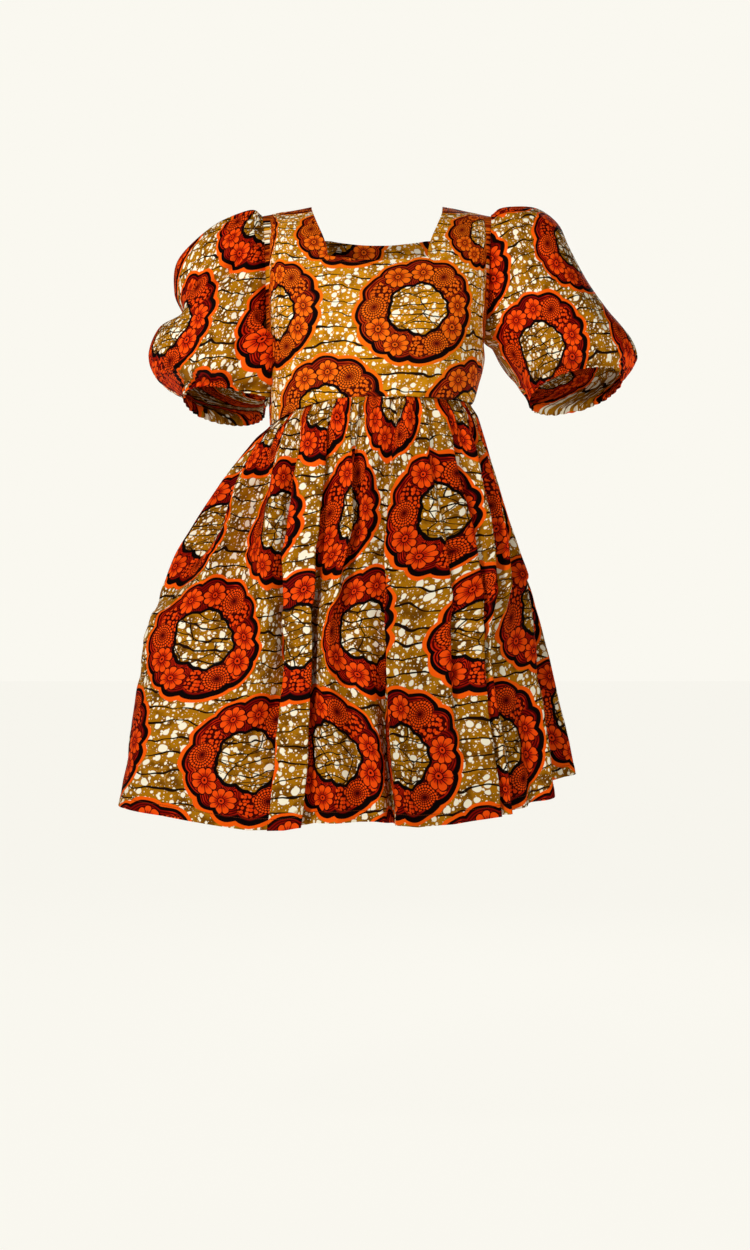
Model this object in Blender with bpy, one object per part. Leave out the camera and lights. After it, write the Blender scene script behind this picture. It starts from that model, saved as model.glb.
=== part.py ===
"""Knee-length wax-print cotton dress, in the hollow form it keeps when worn.

A fitted bodice with a square neck, two puff sleeves drawn into elastic cuffs, and a full skirt
gathered to a raised waist seam and swept out at its right side. Every piece is one cut of cloth,
built as a closed thin wall. Metres, +Z up, front towards -Y, the wearer's right side at -X.
The origin lies midway between the two shoulder straps, where the dress is held up.
"""
import math

import bpy
import numpy as np

CLOTH = 0.0016           # wall of every piece, the doubled cloth at a seam
SEAM_GAP = 0.0004        # clearance between two pieces at a seam
ARMHOLE_GAP = 0.0006     # the sleeve head starts this far outside the bodice

# ---- bodice: level sections, and the lines cut into them ------------------------------------
# the left and right ends of a section lie on the side seams, and higher up on the armholes
BODICE = [
    # z,     left,   right,  front,  back
    (-0.305, -0.163, 0.144, -0.134, 0.090),
    (-0.270, -0.166, 0.159, -0.142, 0.096),
    (-0.235, -0.167, 0.167, -0.149, 0.099),
    (-0.205, -0.167, 0.166, -0.151, 0.101),
    (-0.170, -0.167, 0.169, -0.146, 0.102),
    (-0.130, -0.167, 0.171, -0.132, 0.100),
    (-0.092, -0.168, 0.172, -0.110, 0.093),
    (-0.050, -0.170, 0.174, -0.071, 0.070),
    (-0.025, -0.173, 0.176, -0.035, 0.042),
    (-0.012, -0.176, 0.177, 0.005, 0.005),
]
BODICE_POWER = 2.35      # squareness of the bodice's sections
WAIST_Z = -0.305
WAIST_MIDDLE = (-0.010, -0.020)
WAIST_SIDE_Z = -0.303    # at the wearer's left side
WAIST_DROP = 0.034       # the seam is drawn down towards the side where the skirt is held out
WAIST_DROP_POWER = 7     # how close to that side the drawing down stays
UNDERARM_Z = -0.205
SHOULDER_Z = -0.012      # at the armhole
SHOULDER_RISE = 0.015    # the strap rises to the neck
SHOULDER_RISE_FROM_Z = -0.12
SHOULDER_Y = 0.005
ARMHOLE_FRONT = 0.066    # reach of the armhole before and behind the shoulder seam
ARMHOLE_BACK = 0.070
ARMHOLE_POWER = 2.2      # squareness of the armhole's outline
NECK_X = 0.003           # middle of the neck opening
NECK_TOP = 0.101         # half width at the shoulder seam
NECK_FRONT_LOW = 0.075   # half width at the bottom of the front neckline
NECK_BACK_LOW = 0.092
NECK_FRONT_Z = -0.092
NECK_BACK_Z = -0.050
NECK_SAG = 0.007         # the necklines dip in the middle
NECK_SAG_FROM_Z = -0.20
FRONT_ROWS = [-0.270, -0.235, -0.205, -0.170, -0.130, -0.092, -0.065, -0.040, -0.020, -0.012]
BACK_ROWS = [-0.270, -0.235, -0.205, -0.165, -0.125, -0.085, -0.050, -0.025, -0.012]
NECK_COLUMNS = 12        # across the front neck opening
STRAP_COLUMNS = 5

# ---- skirt: sections, hem, and the folds that run down it ----------------------------------
SKIRT_LEVELS = [0.0, 0.28, 0.58, 0.86, 1.0]   # seam, high, middle, low, hem, as shares of the drop
SKIRT = [
    # drop, left,   right,  front,  back,   pinch of the held-out side, and its swing forward
    (0.00, -0.165, 0.147, -0.138, 0.094, 1.00, 0.000),
    (0.09, -0.207, 0.166, -0.150, 0.108, 1.10, 0.020),
    (0.28, -0.279, 0.200, -0.182, 0.150, 1.25, 0.085),
    (0.45, -0.326, 0.231, -0.206, 0.180, 1.30, 0.130),
    (0.58, -0.346, 0.252, -0.222, 0.198, 1.30, 0.150),
    (0.86, -0.371, 0.287, -0.248, 0.228, 1.25, 0.155),
    (1.00, -0.383, 0.308, -0.260, 0.240, 1.20, 0.155),
]
HEM = [
    # angle round the section, height
    (-60, -0.948), (-30, -0.930), (-12, -0.914), (0, -0.909), (18, -0.911), (35, -0.919),
    (48, -0.928), (62, -0.939), (72, -0.937), (80, -0.927), (98, -0.925), (108, -0.933), (118, -0.931),
    (131, -0.922), (149, -0.903), (165, -0.872), (180, -0.858), (200, -0.872), (225, -0.905),
    (250, -0.936), (270, -0.947),
]
PANEL = 1.16             # cloth width of the skirt's front, and of its two backs together
# a fold line on each row, crest 1 or valley -1: at each level its place across the cloth, and
# its angle round the section in degrees from the wearer's right side over the front
FRONT_FOLDS = [
    (0, (0.000, -2), (0.000, -9), (0.000, -22), (0.000, -25), (0.000, -26)),
    (1, (0.055, 4), (0.055, 3), (0.055, -12), (0.055, -16), (0.055, -17)),
    (-1, (0.105, 11), (0.105, 15), (0.105, -3), (0.105, -8), (0.105, -9)),
    (1, (0.180, 21), (0.180, 34), (0.180, 31), (0.180, 20), (0.180, 18)),
    (-1, (0.255, 33), (0.255, 44), (0.255, 50), (0.255, 42), (0.255, 41)),
    (1, (0.315, 43), (0.315, 54.5), (0.315, 62), (0.315, 55), (0.315, 54)),
    (-1, (0.380, 52), (0.372, 63), (0.385, 69.5), (0.380, 67), (0.380, 66.5)),
    (1, (0.425, 57), (0.407, 62), (0.444, 70), (0.430, 69), (0.430, 68.5)),
    (1, (0.475, 67.5), (0.455, 74), (0.486, 77.5), (0.474, 76), (0.474, 75)),
    (-1, (0.505, 71), (0.487, 74), (0.555, 77.5), (0.510, 76.5), (0.510, 76)),
    (1, (0.545, 78), (0.564, 92), (0.630, 85.7), (0.580, 87.8), (0.580, 87.4)),
    (-1, (0.585, 84.5), (0.597, 91), (0.660, 91.5), (0.620, 94.8), (0.620, 94.1)),
    (0, (0.640, 94), (0.640, 96.5), (0.690, 97.2), (0.650, 99.4), (0.650, 98.6)),
    (-1, (0.700, 105), (0.696, 107.3), (0.745, 105.5), (0.720, 103.5), (0.720, 103.5)),
    (1, (0.735, 109), (0.728, 106.2), (0.786, 105), (0.800, 103.5), (0.800, 103)),
    (0, (0.770, 114), (0.765, 116), (0.850, 117.5), (0.870, 114.5), (0.870, 113.4)),
    (1, (0.800, 119), (0.811, 130), (0.878, 124.8), (0.900, 120.9), (0.900, 119.5)),
    (-1, (0.820, 121.5), (0.824, 130.5), (0.895, 124.7), (0.918, 124.2), (0.918, 122.9)),
    (1, (0.860, 134), (0.862, 146), (0.950, 135), (0.956, 132.6), (0.956, 130.9)),
    (-1, (0.895, 139), (0.880, 149), (1.000, 135.4), (1.000, 133.7), (1.000, 132.1)),
    (1, (0.960, 151), (0.925, 157.5), (1.050, 139.2), (1.045, 136.2), (1.045, 134.4)),
    (-1, (1.000, 156.5), (0.965, 163), (1.070, 142), (1.070, 139.6), (1.070, 137.4)),
    (1, (1.040, 162), (1.015, 169.5), (1.090, 147), (1.092, 144.2), (1.092, 141.4)),
    (-1, (1.095, 169.5), (1.085, 177), (1.115, 154), (1.115, 149.6), (1.115, 145.8)),
    (1, (1.160, 178), (1.160, 185), (1.160, 170), (1.160, 155), (1.160, 151)),
]
BACK_FOLDS = 20          # crests and valleys between the two side seams
BACK_UNEVEN = 0.011      # how far they stray from even spacing, as a share of the width
FOLD_FULLNESS = 0.46     # share of the spare cloth that stands in the main folds
FOLD_LIMIT = 0.034       # deepest main fold, from the middle line
FOLD_AT_SEAM = 0.10      # share of its depth that a fold has at the waist seam
FOLD_FULL_DROP = 0.24    # drop at which a fold has its whole depth
GATHER_PITCH = 0.058     # cloth taken by one gather at the waist seam
GATHER_SWAYS = [(0.16, 31), (0.10, 74)]   # share of a pitch, turns for each metre of cloth
GATHER_DEPTH = [
    # drop, depth
    (0.0, 0.0030), (0.05, 0.0065), (0.14, 0.0055), (0.24, 0.0020), (0.34, 0.0), (1.0, 0.0),
]
SKIRT_ROWS = [0.0, 0.035, 0.085, 0.15, 0.23, 0.33, 0.44, 0.56, 0.70, 0.85, 1.0]
SKIRT_COLUMNS = 96       # in each half of the skirt
GRID_EVEN_DROP = 0.15    # drop at which the columns are evenly spaced
NEXT_THREAD = 0.002      # step along the cloth that gives its direction

# ---- sleeves: one row for each section, from the armhole to the cuff ------------------------
# outer and inner end of the section seen from the front, reach forward and back, front rise
SLEEVE_RIGHT = [
    # out x,  out z,  in x,   in z,   front,  back,  rise
    (-0.197, -0.0090, -0.1735, -0.210, -0.080, 0.085, 0.000),
    (-0.252, -0.0320, -0.1725, -0.220, -0.094, 0.098, 0.000),
    (-0.303, -0.0800, -0.1720, -0.231, -0.100, 0.104, 0.001),
    (-0.312, -0.1290, -0.1720, -0.242, -0.100, 0.105, 0.002),
    (-0.308, -0.1640, -0.1720, -0.252, -0.097, 0.103, 0.004),
    (-0.336, -0.1900, -0.1720, -0.263, -0.099, 0.102, 0.007),
    (-0.348, -0.2330, -0.1720, -0.275, -0.096, 0.099, 0.011),
    (-0.331, -0.2650, -0.1720, -0.287, -0.084, 0.090, 0.015),
    (-0.300, -0.2780, -0.1725, -0.296, -0.062, 0.072, 0.018),
]
CUFF_RIGHT = [
    (-0.295, -0.2870, -0.1735, -0.3050, -0.057, 0.067, 0.020),
    (-0.293, -0.2960, -0.1745, -0.3140, -0.058, 0.068, 0.022),
]
SLEEVE_LEFT = [
    (0.205, -0.0040, 0.1760, -0.212, -0.080, 0.085, 0.0),
    (0.247, -0.0040, 0.1800, -0.216, -0.093, 0.097, 0.0),
    (0.279, -0.0260, 0.1850, -0.225, -0.100, 0.104, 0.001),
    (0.297, -0.0640, 0.1905, -0.236, -0.102, 0.106, 0.002),
    (0.323, -0.1130, 0.1970, -0.246, -0.100, 0.104, 0.004),
    (0.354, -0.1580, 0.2050, -0.256, -0.096, 0.100, 0.007),
    (0.387, -0.1990, 0.2140, -0.264, -0.090, 0.095, 0.012),
    (0.397, -0.2320, 0.2220, -0.272, -0.080, 0.086, 0.016),
    (0.387, -0.2510, 0.2300, -0.281, -0.062, 0.070, 0.022),
]
CUFF_LEFT = [
    (0.379, -0.2590, 0.2350, -0.289, -0.057, 0.065, 0.024),
    (0.376, -0.2670, 0.2380, -0.297, -0.058, 0.066, 0.026),
]
SLEEVE_POWER = 2.15
SLEEVE_COLUMNS = 40
SLEEVE_GATHERS = 20
# depth of the gathers at each section, from the armhole on; the sleeve head is fullest on top
SLEEVE_GATHER_DEPTH = [0.0010, 0.0030, 0.0034, 0.0028, 0.0022, 0.0020, 0.0024, 0.0030, 0.0036, 0.0020]
CUFF_GATHER_DEPTH = [0.0018, 0.0026]
GATHER_INNER = 0.35      # share of that depth on the side next to the body
SAG_VALLEY = 0.017       # soft valley across the front of the right sleeve, between its two lobes
SAG_START = 5.2          # section it starts from at the outer side
SAG_SLOPE = 3.4          # sections it climbs on its way to the middle of the front
SAG_WIDTH = 0.85         # half width, in sections
SAG_END = 1.9            # turn from the outer side at which it has died out, in radians
SAG_FADE = 0.9           # length over which it does so

COLOURS = {
    "bodice": (0.60, 0.26, 0.03),
    "skirt": (0.50, 0.16, 0.02),
    "sleeve": (0.56, 0.20, 0.02),
    "cuff": (0.42, 0.10, 0.02),
}


def smooth_curve(places, values, at):
    """Cubic through (places, values), with slopes from the neighbours; values may be arrays."""
    places = np.asarray(places, float)
    values = np.asarray(values, float)
    steps = np.diff(places)
    rises = np.diff(values, axis=0) / steps.reshape(-1, *([1] * (values.ndim - 1)))
    slopes = np.empty_like(values)
    slopes[0] = rises[0]
    slopes[-1] = rises[-1]
    for k in range(1, len(places) - 1):
        slopes[k] = (rises[k - 1] * steps[k] + rises[k] * steps[k - 1]) / (steps[k - 1] + steps[k])
    k = int(np.clip(np.searchsorted(places, at, side="right") - 1, 0, len(steps) - 1))
    t = (at - places[k]) / steps[k]
    near = (1 + 2 * t) * (1 - t) ** 2 * values[k] + t * t * (3 - 2 * t) * values[k + 1]
    return near + steps[k] * t * (1 - t) * ((1 - t) * slopes[k] - t * slopes[k + 1])


def column(table, index):
    return [row[index] for row in table]


def ease(value):
    value = min(1.0, max(0.0, value))
    return value * value * (3 - 2 * value)


class Panel:
    """One cut of cloth: a grid of points on its outer side, rows downwards, columns so that
    rows x columns points outwards. Cells can be left out, and columns can close on themselves."""

    def __init__(self, name, kind, points, closed=False, left_out=()):
        self.name = name
        self.kind = kind
        self.points = np.array(points, float)
        self.closed = closed
        self.rows = self.points.shape[0]
        self.columns = self.points.shape[1]
        cell_columns = self.columns if closed else self.columns - 1
        self.cells = [
            (i, j)
            for i in range(self.rows - 1)
            for j in range(cell_columns)
            if (i, j) not in set(left_out)
        ]
        self.normals = self.point_normals()

    def corners(self, cell):
        i, j = cell
        right = (j + 1) % self.columns
        return [(i, j), (i + 1, j), (i + 1, right), (i, right)]

    def point_normals(self):
        normals = np.zeros_like(self.points)
        for cell in self.cells:
            a, b, c, d = [self.points[corner] for corner in self.corners(cell)]
            across = np.cross(c - a, d - b)
            for corner in self.corners(cell):
                normals[corner] += across
        lengths = np.linalg.norm(normals, axis=2, keepdims=True)
        return normals / np.maximum(lengths, 1e-12)

    def used(self):
        return sorted({corner for cell in self.cells for corner in self.corners(cell)})

    def level_row(self, row):
        """Turn the normals of a row level, so that the wall's edge there is level too."""
        self.normals[row, :, 2] = 0
        self.normals[row] /= np.linalg.norm(self.normals[row], axis=1, keepdims=True)

    def upright_row(self, row):
        """Turn the normals of a row square to X, for a seam that lies in a plane of equal x."""
        self.normals[row, :, 0] = 0
        self.normals[row] /= np.linalg.norm(self.normals[row], axis=1, keepdims=True)

    def draw_back(self, place, towards, distance):
        """Shorten the panel at a boundary point, along its own surface."""
        along = self.points[towards] - self.points[place]
        normal = self.normals[place]
        along -= normal * np.dot(along, normal)
        self.points[place] = self.points[place] + distance * along / np.linalg.norm(along)

    def build(self):
        used = self.used()
        index = {corner: k for k, corner in enumerate(used)}
        outer = [self.points[corner] for corner in used]
        inner = [self.points[corner] - CLOTH * self.normals[corner] for corner in used]
        count = len(used)
        faces = []
        edges = {}
        for cell in self.cells:
            ring = [index[corner] for corner in self.corners(cell)]
            faces.append(ring)
            faces.append([k + count for k in reversed(ring)])
            for a, b in zip(ring, ring[1:] + ring[:1]):
                edges[(a, b)] = True
        for a, b in edges:
            if (b, a) not in edges:
                faces.append([b, a, a + count, b + count])
        mesh = bpy.data.meshes.new(self.name)
        mesh.from_pydata([tuple(p) for p in outer + inner], [], faces)
        mesh.update()
        mesh.shade_smooth()
        mesh.set_sharp_from_angle(angle=math.radians(50))
        piece = bpy.data.objects.new(self.name, mesh)
        bpy.context.scene.collection.objects.link(piece)
        mesh.materials.append(cloth_material(self.name, COLOURS[self.kind]))
        return piece


def cloth_material(name, colour):
    material = bpy.data.materials.new(name + "_cotton")
    material.use_nodes = True
    shader = material.node_tree.nodes["Principled BSDF"]
    shader.inputs["Base Color"].default_value = (*colour, 1)
    shader.inputs["Roughness"].default_value = 0.72
    shader.inputs["Metallic"].default_value = 0.0
    return material


def sew(first, second):
    """Share the normals of points that two panels have in common, and part the panels there."""
    places = {tuple(np.round(second.points[c], 6)): c for c in second.used()}
    pairs = [(c, places[tuple(np.round(first.points[c], 6))])
             for c in first.used() if tuple(np.round(first.points[c], 6)) in places]
    for a, b in pairs:
        normal = first.normals[a] + second.normals[b]
        normal /= np.linalg.norm(normal)
        first.normals[a] = normal
        second.normals[b] = normal
    return pairs


def part_seam(first, second, pairs):
    for a, b in pairs:
        first.draw_back(a, inward(first, a, [p[0] for p in pairs]), SEAM_GAP / 2)
        second.draw_back(b, inward(second, b, [p[1] for p in pairs]), SEAM_GAP / 2)


def inward(panel, place, seam):
    """The neighbour of a seam point that lies on the panel, off the seam."""
    i, j = place
    used = set(panel.used())
    steps = [(i, j + 1), (i, j - 1), (i + 1, j), (i - 1, j)]
    for step in steps:
        if step in used and step not in seam:
            return step
    return place


# ---- bodice --------------------------------------------------------------------------------

def seam_height(x, y):
    """Height of the waist seam, by the direction from the middle of the waist."""
    turn = math.atan2(y - WAIST_MIDDLE[1], WAIST_MIDDLE[0] - x)
    return WAIST_SIDE_Z - WAIST_DROP * ((1 + math.cos(turn)) / 2) ** WAIST_DROP_POWER


def torso(height):
    """Left x, right x, front y and back y of the bodice."""
    return smooth_curve(column(BODICE, 0), [row[1:] for row in BODICE], height)


def edge_y(height, reach):
    """Depth of the side seam, and above the underarm of the armhole's edge."""
    if height <= UNDERARM_Z:
        return SHOULDER_Y
    middle = (UNDERARM_Z + SHOULDER_Z) / 2
    half = (SHOULDER_Z - UNDERARM_Z) / 2
    round_off = max(0.0, 1 - abs((height - middle) / half) ** ARMHOLE_POWER)
    return SHOULDER_Y + reach * round_off ** 0.5


def neck_half(height, low_half, low_z):
    share = ease((height - low_z) / (SHOULDER_Z - low_z))
    return low_half + (NECK_TOP - low_half) * share


def bodice_point(height, turn, side, neck_z):
    """Point of the bodice; turn runs from -1 at the left edge over 0 to 1 at the right edge,
    side is -1 on the front and 1 on the back."""
    left, right, front, back = torso(height)
    middle = NECK_X
    half = (right - middle) if turn > 0 else (middle - left)
    reach = -ARMHOLE_FRONT if side < 0 else ARMHOLE_BACK
    edge = edge_y(height, reach)
    deepest = front if side < 0 else back
    angle = abs(turn) * math.pi / 2
    x = middle + math.copysign(half * math.sin(angle) ** (2 / BODICE_POWER), turn)
    y = edge + (deepest - edge) * math.cos(angle) ** (2 / BODICE_POWER) if abs(turn) < 1 else edge
    rise = SHOULDER_RISE * ease((height - SHOULDER_RISE_FROM_Z) / (SHOULDER_Z - SHOULDER_RISE_FROM_Z))
    z = height + rise * min(1.0, (half - abs(x - middle)) / (half - NECK_TOP))
    sag = NECK_SAG * ease((height - NECK_SAG_FROM_Z) / (neck_z - NECK_SAG_FROM_Z))
    z -= sag * max(0.0, 1 - ((x - middle) / NECK_FRONT_LOW) ** 2)
    return x, y, z


def waist_point(turn, side):
    """Point of the waist seam under the column at turn."""
    x, y, _ = bodice_point(WAIST_Z, turn, side, NECK_FRONT_Z)
    return x, y, seam_height(x, y)


def bodice_turns(height, low_half, low_z):
    """Columns of half a bodice: across the neck opening, then across the strap."""
    left, right, _, _ = torso(height)
    half = (right - left) / 2
    neck = neck_half(height, low_half, low_z) / half
    neck_turn = math.asin(min(1, neck) ** (BODICE_POWER / 2)) / (math.pi / 2)
    across = NECK_COLUMNS // 2
    turns = [neck_turn * k / across for k in range(across)]
    return turns + [neck_turn + (1 - neck_turn) * k / STRAP_COLUMNS for k in range(STRAP_COLUMNS + 1)]


def bodice_panel(name, side, rows, low_half, low_z, turn_sides):
    """A bodice panel; turn_sides says which halves it has: left, right or both."""
    grid = []
    for height in reversed([WAIST_Z] + rows):
        half = bodice_turns(height, low_half, low_z)
        turns = []
        if "left" in turn_sides:
            turns += [-t for t in reversed(half)]
        if "right" in turn_sides:
            turns += half[1:] if turns else half
        if side > 0:
            turns.reverse()
        if height == WAIST_Z:
            grid.append([waist_point(t, side) for t in turns])
        else:
            grid.append([bodice_point(height, t, side, low_z) for t in turns])
    neck_rows = [k for k, height in enumerate(reversed(rows)) if height > low_z]
    columns = len(grid[0])
    across = NECK_COLUMNS // 2
    left_out = []
    for i in neck_rows:
        for j in range(columns - 1):
            if "left" in turn_sides and "right" in turn_sides:
                in_neck = STRAP_COLUMNS <= j < STRAP_COLUMNS + NECK_COLUMNS
            elif ("left" in turn_sides) == (side < 0):
                in_neck = j >= STRAP_COLUMNS
            else:
                in_neck = j < across
            if in_neck:
                left_out.append((i, j))
    panel = Panel(name, "bodice", grid, left_out=left_out)
    panel.level_row(panel.rows - 1)
    panel.points[-1, :, 2] += SEAM_GAP / 2
    return panel


def make_bodice():
    front = bodice_panel("bodice_front", -1, FRONT_ROWS, NECK_FRONT_LOW, NECK_FRONT_Z, "left right")
    back_right = bodice_panel("bodice_back_right", 1, BACK_ROWS, NECK_BACK_LOW, NECK_BACK_Z, "left")
    back_left = bodice_panel("bodice_back_left", 1, BACK_ROWS, NECK_BACK_LOW, NECK_BACK_Z, "right")
    panels = [front, back_left, back_right]
    seams = []
    for a in range(3):
        for b in range(a + 1, 3):
            seams.append((panels[a], panels[b], sew(panels[a], panels[b])))
    for first, second, pairs in seams:
        part_seam(first, second, pairs)
    return panels


# ---- skirt ---------------------------------------------------------------------------------

def skirt_folds():
    """Sign, places on the cloth and angles at the levels of each fold line, once round."""
    folds = [(row[0], column(row[1:], 0), column(row[1:], 1)) for row in FRONT_FOLDS]
    start = folds[-1][2]
    end = [angle + 360 for angle in folds[0][2]]
    for k in range(1, BACK_FOLDS):
        even = k / BACK_FOLDS
        uneven = BACK_UNEVEN * math.sin(5.1 * k) * math.sin(math.pi * even)
        sign = 0 if 2 * k == BACK_FOLDS else (-1) ** k
        share = even + uneven
        angles = [a + (b - a) * share for a, b in zip(start, end)]
        folds.append((sign, [PANEL * (1 + even)] * len(SKIRT_LEVELS), angles))
    return folds


def skirt_extent(drop):
    return smooth_curve(column(SKIRT, 0), [row[1:] for row in SKIRT], drop)


def base_point(angle, extent):
    """Plain section without folds. The pinch draws its held-out side to a point, which swings
    forward of the middle."""
    left, right, front, back, pinch, swing = extent
    turn = np.radians(angle)
    middle = (left + right) / 2
    half = (right - left) / 2
    cosine = np.cos(turn)
    power = np.where(cosine > 0, pinch, 1.0)
    x = middle - half * np.sign(cosine) * np.abs(cosine) ** power
    depth = np.where(np.sin(turn) > 0, -front, back)
    point = np.where(cosine > 0, -swing, 0.0)
    y = point - (depth * np.sin(turn) + point * np.abs(np.sin(turn)))
    return np.stack([x, y], axis=-1)


def skirt_section(drop, cloth):
    """Points of the skirt's section at the given places on the cloth, and their angles."""
    folds = skirt_folds()
    signs = np.array([fold[0] for fold in folds], float)
    places = smooth_curve(SKIRT_LEVELS, np.array([fold[1] for fold in folds]).T, drop)
    angles = smooth_curve(SKIRT_LEVELS, np.array([fold[2] for fold in folds], float).T, drop)
    extent = skirt_extent(drop)
    base = base_point(angles, extent)
    after = np.roll(base, -1, axis=0)
    run = np.linalg.norm(after - base, axis=1)
    widths = np.diff(np.append(places, 2 * PANEL))
    spare = np.sqrt(np.maximum(widths ** 2 - run ** 2, 0)) * (signs != np.roll(signs, -1))
    depth = np.minimum(FOLD_FULLNESS * (spare + np.roll(spare, 1)) / 2, FOLD_LIMIT)
    depth *= FOLD_AT_SEAM + (1 - FOLD_AT_SEAM) * ease(drop / FOLD_FULL_DROP)
    ahead = base_point(angles + 0.5, extent) - base_point(angles - 0.5, extent)
    ahead /= np.linalg.norm(ahead, axis=1, keepdims=True)
    outward = np.stack([ahead[:, 1], -ahead[:, 0]], axis=-1)
    tips = base + outward * (signs * depth)[:, None]
    rows = np.column_stack([tips, angles])
    wrapped = np.vstack([rows[-2:] - [0, 0, 360], rows, rows[:3] + [0, 0, 360]])
    around = np.concatenate([places[-2:] - 2 * PANEL, places, places[:3] + 2 * PANEL])
    line = np.array([smooth_curve(around, wrapped, c) for c in cloth])
    side = np.array([smooth_curve(around, wrapped, c + NEXT_THREAD) for c in cloth]) - line
    side = side[:, :2] / np.linalg.norm(side[:, :2], axis=1, keepdims=True)
    outward = np.stack([side[:, 1], -side[:, 0]], axis=-1)
    gather = np.interp(drop, column(GATHER_DEPTH, 0), column(GATHER_DEPTH, 1))
    phase = cloth / GATHER_PITCH + sum(share * np.sin(cloth * rate) for share, rate in GATHER_SWAYS)
    flat = line[:, :2] + outward * (gather * np.cos(2 * math.pi * phase))[:, None]
    left, right, front, back = extent[:4]
    low = flat.min(axis=0)
    high = flat.max(axis=0)
    flat = (flat - low) / (high - low) * [right - left, back - front] + [left, front]
    return flat, line[:, 2]


def grid_places(drop, even):
    """Places on the cloth of the grid's columns, which run down along the fold lines."""
    seams = [0.0, PANEL, 2 * PANEL]
    lines = np.array([fold[1] for fold in skirt_folds()]).T
    middle = np.append(seams, smooth_curve(SKIRT_LEVELS, lines, GRID_EVEN_DROP))
    here = np.append(seams, smooth_curve(SKIRT_LEVELS, lines, drop))
    order = np.argsort(middle, kind="stable")
    return np.interp(even, middle[order], here[order])


def hem_height(angle):
    first = HEM[0][0]
    around = column(HEM, 0) + [first + 360]
    heights = column(HEM, 1) + [HEM[0][1]]
    return np.interp((angle - first) % 360 + first, around, heights)


def make_skirt():
    total = 2 * SKIRT_COLUMNS
    even = np.arange(total) * 2 * PANEL / total
    grid = []
    seam, _ = skirt_section(0.0, grid_places(0.0, even))
    top = np.array([seam_height(x, y) for x, y in seam])
    for drop in SKIRT_ROWS:
        flat, angles = skirt_section(drop, grid_places(drop, even))
        height = top * (1 - drop) + hem_height(angles) * drop - SEAM_GAP / 2
        grid.append(np.column_stack([flat, height]))
    whole = Panel("skirt", "skirt", grid, closed=True)
    whole.level_row(0)
    half = SKIRT_COLUMNS
    spans = [
        ("skirt_front", 0, half),
        ("skirt_back_left", half, half + half // 2),
        ("skirt_back_right", half + half // 2, total),
    ]
    panels = []
    for name, start, end in spans:
        columns = [k % total for k in range(start, end + 1)]
        panel = Panel(name, "skirt", whole.points[:, columns])
        panel.normals = whole.normals[:, columns].copy()
        for i in range(panel.rows):
            panel.draw_back((i, 0), (i, 1), SEAM_GAP / 2)
            panel.draw_back((i, panel.columns - 1), (i, panel.columns - 2), SEAM_GAP / 2)
        panels.append(panel)
    return panels


# ---- sleeves -------------------------------------------------------------------------------

def armhole_point(turn, side):
    """Point of the armhole, turn in radians from the shoulder tip over the front."""
    middle = (UNDERARM_Z + SHOULDER_Z) / 2
    half = (SHOULDER_Z - UNDERARM_Z) / 2
    height = middle + half * math.cos(turn)
    reach = -ARMHOLE_FRONT if math.sin(turn) > 0 else ARMHOLE_BACK
    left, right, _, _ = torso(height)
    x = (right + ARMHOLE_GAP) if side > 0 else (left - ARMHOLE_GAP)
    return np.array([x, edge_y(height, reach), height])


def sleeve_point(row, turn):
    """Point of a sleeve section, turn in radians from its outer end over the front."""
    out_x, out_z, in_x, in_z, front, back, rise = row
    cosine = math.cos(turn)
    sine = math.sin(turn)
    along = math.copysign(abs(cosine) ** (2 / SLEEVE_POWER), cosine)
    across = math.copysign(abs(sine) ** (2 / SLEEVE_POWER), sine)
    share = (1 - along) / 2
    middle = (front + back) / 2
    half = (back - front) / 2
    x = out_x + (in_x - out_x) * share
    z = out_z + (in_z - out_z) * share + rise * across
    return np.array([x, middle - half * across, z])


def gather_shift(turn, depth, at_armhole):
    """Gathers along a section; at the armhole they only stand outwards."""
    inner_side = GATHER_INNER + (1 - GATHER_INNER) * ease(math.cos(turn) + 1)
    wave = math.cos(SLEEVE_GATHERS * turn + 0.5 * math.sin(3 * turn) + 0.3 * math.sin(7 * turn))
    return depth * inner_side * (wave + 1 if at_armhole else wave)


def sag_shift(turn, section):
    """Depth of the soft valley that climbs from the outer side over the front and the back."""
    reach = abs(turn if turn < math.pi else turn - 2 * math.pi)
    line = SAG_START - SAG_SLOPE * reach / (math.pi / 2)
    return SAG_VALLEY * ease((SAG_END - reach) / SAG_FADE) * math.exp(-((section - line) / SAG_WIDTH) ** 2)


def sleeve_rings(rows, depths, side, valley):
    """Rings of points through the sections; a row of None is the armhole."""
    turns = [2 * math.pi * k / SLEEVE_COLUMNS for k in range(SLEEVE_COLUMNS)]
    rings = []
    for section, row in enumerate(rows):
        at_armhole = row is None
        ring = [armhole_point(turn, side) if at_armhole else sleeve_point(row, turn) for turn in turns]
        ring = np.array(ring)
        away = ring - ring.mean(axis=0)
        if at_armhole:
            away[:, 0] = 0
        away /= np.linalg.norm(away, axis=1, keepdims=True)
        for k, turn in enumerate(turns):
            shift = gather_shift(turn, depths[section], at_armhole)
            if valley:
                shift -= sag_shift(turn, section)
            ring[k] += away[k] * shift
        rings.append(ring)
    return np.array(rings)


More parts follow.
